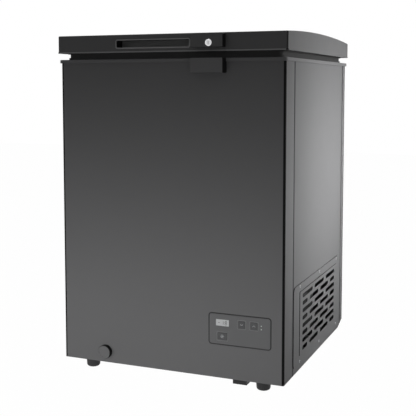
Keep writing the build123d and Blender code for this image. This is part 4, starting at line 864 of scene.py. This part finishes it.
@dataclass
class ControlPanel:
    """The control panel with its display, keys and lamps."""

    dresser: Dresser
    segment_l: float = 4.4 * MM
    segment_w: float = 1.0 * MM
    digit_pitch: float = 9.0 * MM
    ink_depth: float = 0.2 * MM
    ink_proud: float = 0.25
    bar_share: float = 0.92
    arm_l: float = 9.0 * MM
    arm_w: float = 0.9 * MM
    barb_start: float = 0.32
    barb_middle: float = 0.09
    barb_l: float = 0.24
    barb_w: float = 0.8
    chevron_l: float = 5.0 * MM
    chevron_w: float = 1.08 * MM
    outline_w: float = 0.9 * MM
    outline_gap: float = 1.5 * MM

    # Which of the seven segments each sign lights: top, upper left, upper right, middle,
    # lower left, lower right, foot
    SIGNS: ClassVar[dict[str, str]] = {"-": "0001000", "1": "0010010", "8": "1111111"}

    def dress(self) -> None:
        """Gives the panel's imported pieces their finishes."""
        dress = self.dresser.dress
        dress(BLACK_MOULDING, "panel_frame", "control_box")
        dress(PANEL_FACE, "panel_fascia")
        dress(KEY_TOP, "power_key", "down_key", "up_key")
        dress(BOARD, "circuit_board")
        dress(DISPLAY_FACE, "display")
        dress(LAMP_LENS, "indicator_lamps")

    def _face(self, node: str) -> tuple[Vector, float]:
        """The middle of a piece's front face, set so that ink on it stands a little proud.

        Args:
            node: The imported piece.

        Returns:
            The middle of the piece's box, and the depth at which ink is centred.
        """
        low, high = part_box(node)
        return (low + high) / 2, low.y - self.ink_proud * self.ink_depth

    def build_digits(self, text: str = "-18") -> None:
        """Adds the display's digits, made of bars.

        Args:
            text: The signs to show.
        """
        middle, depth = self._face("display")
        bars = []
        half = 0.5 * self.segment_l
        spots = [
            (0, 2 * half, 0.0),
            (-half, half, math.pi / 2),
            (half, half, math.pi / 2),
            (0, 0, 0.0),
            (-half, -half, math.pi / 2),
            (half, -half, math.pi / 2),
            (0, -2 * half, 0.0),
        ]
        for index, sign in enumerate(text):
            left = (index - 0.5 * (len(text) - 1)) * self.digit_pitch
            for lit, (x, z, turn) in zip(self.SIGNS[sign], spots):
                if lit == "1":
                    centre = (middle.x + left + x, depth, middle.z + z)
                    length = self.bar_share * self.segment_l
                    bars.append(Bench.bar(centre, length, self.segment_w, self.ink_depth, turn))
        self.dresser.add(Bench.join(bars, "display_digits"), SEGMENT_INK, "cabinet", "display_face")

    def build_snow_sign(self) -> None:
        """Adds the star of six arms on the cooling key."""
        middle, depth = self._face("power_key")
        centre = (middle.x, depth, middle.z)
        bars = []
        for index in range(3):
            turn = index * math.pi / 3
            bars.append(Bench.bar(centre, self.arm_l, self.arm_w, self.ink_depth, turn))
        reach = self.barb_start * self.arm_l
        tip = self.barb_middle * self.arm_l
        for index in range(6):
            turn = index * math.pi / 3
            for side in (-1, 1):
                lean = turn + side * math.pi / 4
                place = (
                    middle.x + reach * math.cos(turn) + tip * math.cos(lean),
                    depth,
                    middle.z + reach * math.sin(turn) + tip * math.sin(lean),
                )
                length = self.barb_l * self.arm_l
                bars.append(Bench.bar(place, length, self.barb_w * self.arm_w, self.ink_depth, lean))
        self.dresser.add(Bench.join(bars, "cooling_key_sign"), ICON_INK, "power_key", "key_caps")

    def build_outline(self, node: str) -> None:
        """Adds the thin frame that is printed on the fascia round a key.

        Args:
            node: The key.
        """
        low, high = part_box(node)
        middle = (low + high) / 2
        _, depth = self._face("panel_fascia")
        across = 0.5 * (high.x - low.x) + self.outline_gap
        up = 0.5 * (high.z - low.z) + self.outline_gap
        bars = []
        for side in (-1, 1):
            flat = (middle.x, depth, middle.z + side * up)
            upright = (middle.x + side * across, depth, middle.z)
            bars.append(Bench.bar(flat, 2 * across, self.outline_w, self.ink_depth, 0.0))
            bars.append(Bench.bar(upright, 2 * up, self.outline_w, self.ink_depth, math.pi / 2))
        self.dresser.add(Bench.join(bars, f"{node}_outline"), OUTLINE_INK, "cabinet", "panel_face")

    def build_chevron(self, node: str, upward: bool) -> None:
        """Adds an up or down chevron to a key.

        Args:
            node: The key.
            upward: Whether the chevron points up.
        """
        middle, depth = self._face(node)
        direction = 1 if upward else -1
        slope = math.pi / 4
        offset = 0.5 * self.chevron_l * math.cos(slope) * self.bar_share
        bars = []
        for side in (-1, 1):
            turn = -side * direction * slope
            centre = (middle.x + side * offset, depth, middle.z)
            bars.append(Bench.bar(centre, self.chevron_l, self.chevron_w, self.ink_depth, turn))
        self.dresser.add(Bench.join(bars, f"{node}_chevron"), ICON_INK, node, "key_caps")


@dataclass
class Basket:
    """The wire basket hung inside."""

    dresser: Dresser

    def dress(self) -> None:
        """Gives the basket's wires their white coating."""
        self.dresser.dress(
            COATED_WIRE, "basket_frame", "basket_hooks", "basket_cross_wires", "basket_long_wires"
        )


@dataclass(frozen=True)
class SoftBox:
    """A soft box that faces a point, with its power in watts and the angle of its beam in degrees."""

    name: str
    place: Point
    target: Point
    width: float
    height: float
    power: float
    spread: float

    def hang(self) -> None:
        """Makes the light."""
        data = bpy.data.lights.new(self.name, "AREA")
        data.shape = "RECTANGLE"
        data.size = self.width
        data.size_y = self.height
        data.energy = self.power
        data.spread = math.radians(self.spread)
        light = bpy.data.objects.new(self.name, data)
        light.location = self.place
        aim = Vector(self.target) - Vector(self.place)
        light.rotation_euler = aim.to_track_quat("-Z", "Y").to_euler()
        bpy.context.scene.collection.objects.link(light)


SOFT_BOXES = (
    SoftBox(
        name="key_right",
        place=(2.7, 0.8, 0.75),
        target=(0.29, 0.12, 0.5),
        width=0.6,
        height=0.6,
        power=2.3,
        spread=21.5,
    ),
    SoftBox(
        name="side_wash",
        place=(2.4, 0.3, 1.6),
        target=(0.29, 0.0, 0.6),
        width=1.6,
        height=1.6,
        power=0.4,
        spread=120.0,
    ),
    SoftBox(
        name="fill_low",
        place=(-0.3, -1.2, 0.06),
        target=(-0.3, -0.29, 0.02),
        width=1.8,
        height=0.4,
        power=3.3,
        spread=90.0,
    ),
    SoftBox(
        name="fill_left",
        place=(-2.4, 0.2, 0.9),
        target=(-0.29, 0.0, 0.45),
        width=1.6,
        height=1.6,
        power=2.0,
        spread=120.0,
    ),
    SoftBox(
        name="top_soft",
        place=(-0.2, 0.6, 3.0),
        target=(0.0, 0.0, 0.8),
        width=2.4,
        height=2.4,
        power=4.0,
        spread=120.0,
    ),
)


@dataclass
class Studio:
    """The floor, the lights, the background and the camera."""

    camera_place: Point = (0.8538, -2.1177, 0.7167)
    camera_yaw: float = math.radians(22.29)
    camera_tilt: float = math.radians(4.795)
    lens_mm: float = 73.36
    sensor_mm: float = 36.0
    shift_y: float = -0.12
    floor_size: float = 14.0
    floor_colour: Colour = (0.86, 0.86, 0.86)
    floor_white: float = 0.99
    world_level: float = 0.085

    def build_camera(self) -> None:
        """Makes the camera at the photograph's place and view."""
        data = bpy.data.cameras.new("photo_camera")
        data.lens = self.lens_mm
        data.sensor_width = self.sensor_mm
        data.shift_y = self.shift_y
        camera = bpy.data.objects.new("photo_camera", data)
        camera.location = self.camera_place
        camera.rotation_euler = (math.pi / 2 - self.camera_tilt, 0, self.camera_yaw)
        bpy.context.scene.collection.objects.link(camera)
        bpy.context.scene.camera = camera

    def build_world(self) -> None:
        """Lights the scene evenly, and shows white to the camera and in reflections."""
        world = bpy.data.worlds.new("studio_world")
        bpy.context.scene.world = world
        world.use_nodes = True
        web = Web(world.node_tree)
        path = web.node("ShaderNodeLightPath", {}, {})
        seen = self.seen_directly(web, path)
        strength = seen * (1 - self.world_level) + self.world_level
        background = web.node(
            "ShaderNodeBackground", {}, {"Color": (1.0, 1.0, 1.0, 1.0), "Strength": strength}
        )
        web.node("ShaderNodeOutputWorld", {}, {"Surface": web.out(background, 0)})

    @staticmethod
    def seen_directly(web: Web, path: bpy.types.Node) -> Sock:
        """Tells what looks at the background.

        Args:
            web: The world's nodes.
            path: The light path's node.

        Returns:
            One for a camera, mirror or glass ray, and zero for scattered light.
        """
        camera = web.out(path, "Is Camera Ray")
        glossy = web.out(path, "Is Glossy Ray")
        through = web.out(path, "Is Transmission Ray")
        node = web.node(
            "ShaderNodeMath", {"operation": "ADD", "use_clamp": True}, {0: camera + glossy, 1: through}
        )
        return web.out(node, 0)

    def build_floor(self) -> None:
        """Lays a plain pale floor that keeps the object's shadow."""
        Bench.clear()
        bpy.ops.mesh.primitive_plane_add(size=self.floor_size, location=(0, 0, 0))
        floor = bpy.context.object
        floor.name = "studio_floor"
        material = bpy.data.materials.new("pale_floor")
        material.use_nodes = True
        web = Web(material.node_tree)
        path = web.node("ShaderNodeLightPath", {}, {})
        matte = web.node(
            "ShaderNodeBsdfDiffuse", {}, {"Color": (*self.floor_colour, 1.0), "Roughness": 1.0}
        )
        white = web.node("ShaderNodeEmission", {}, {"Color": (1.0, 1.0, 1.0, 1.0), "Strength": 1.0})
        share = self.seen_directly(web, path) * self.floor_white
        mixed = web.node(
            "ShaderNodeMixShader", {}, {0: share, 1: web.out(matte, 0), 2: web.out(white, 0)}
        )
        web.node("ShaderNodeOutputMaterial", {}, {"Surface": web.out(mixed, 0)})
        floor.data.materials.append(material)

    @staticmethod
    def build_lights() -> None:
        """Hangs the soft boxes."""
        for box in SOFT_BOXES:
            box.hang()


def main() -> None:
    """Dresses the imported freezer, adds its details and sets up the studio."""
    logging.basicConfig(level=logging.INFO)
    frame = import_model()
    bpy.context.scene.view_settings.view_transform = "Standard"
    dresser = Dresser(frame["nodes"], Finishes())
    cabinet = Cabinet(dresser)
    cabinet.dress()
    cabinet.build_screw_crosses()
    Lid(dresser).dress()
    panel = ControlPanel(dresser)
    panel.dress()
    panel.build_digits()
    panel.build_snow_sign()
    panel.build_chevron("down_key", upward=False)
    panel.build_chevron("up_key", upward=True)
    for key in ("power_key", "down_key", "up_key"):
        panel.build_outline(key)
    Basket(dresser).dress()
    studio = Studio()
    studio.build_floor()
    studio.build_world()
    studio.build_lights()
    studio.build_camera()


if __name__ == "__main__":
    main()
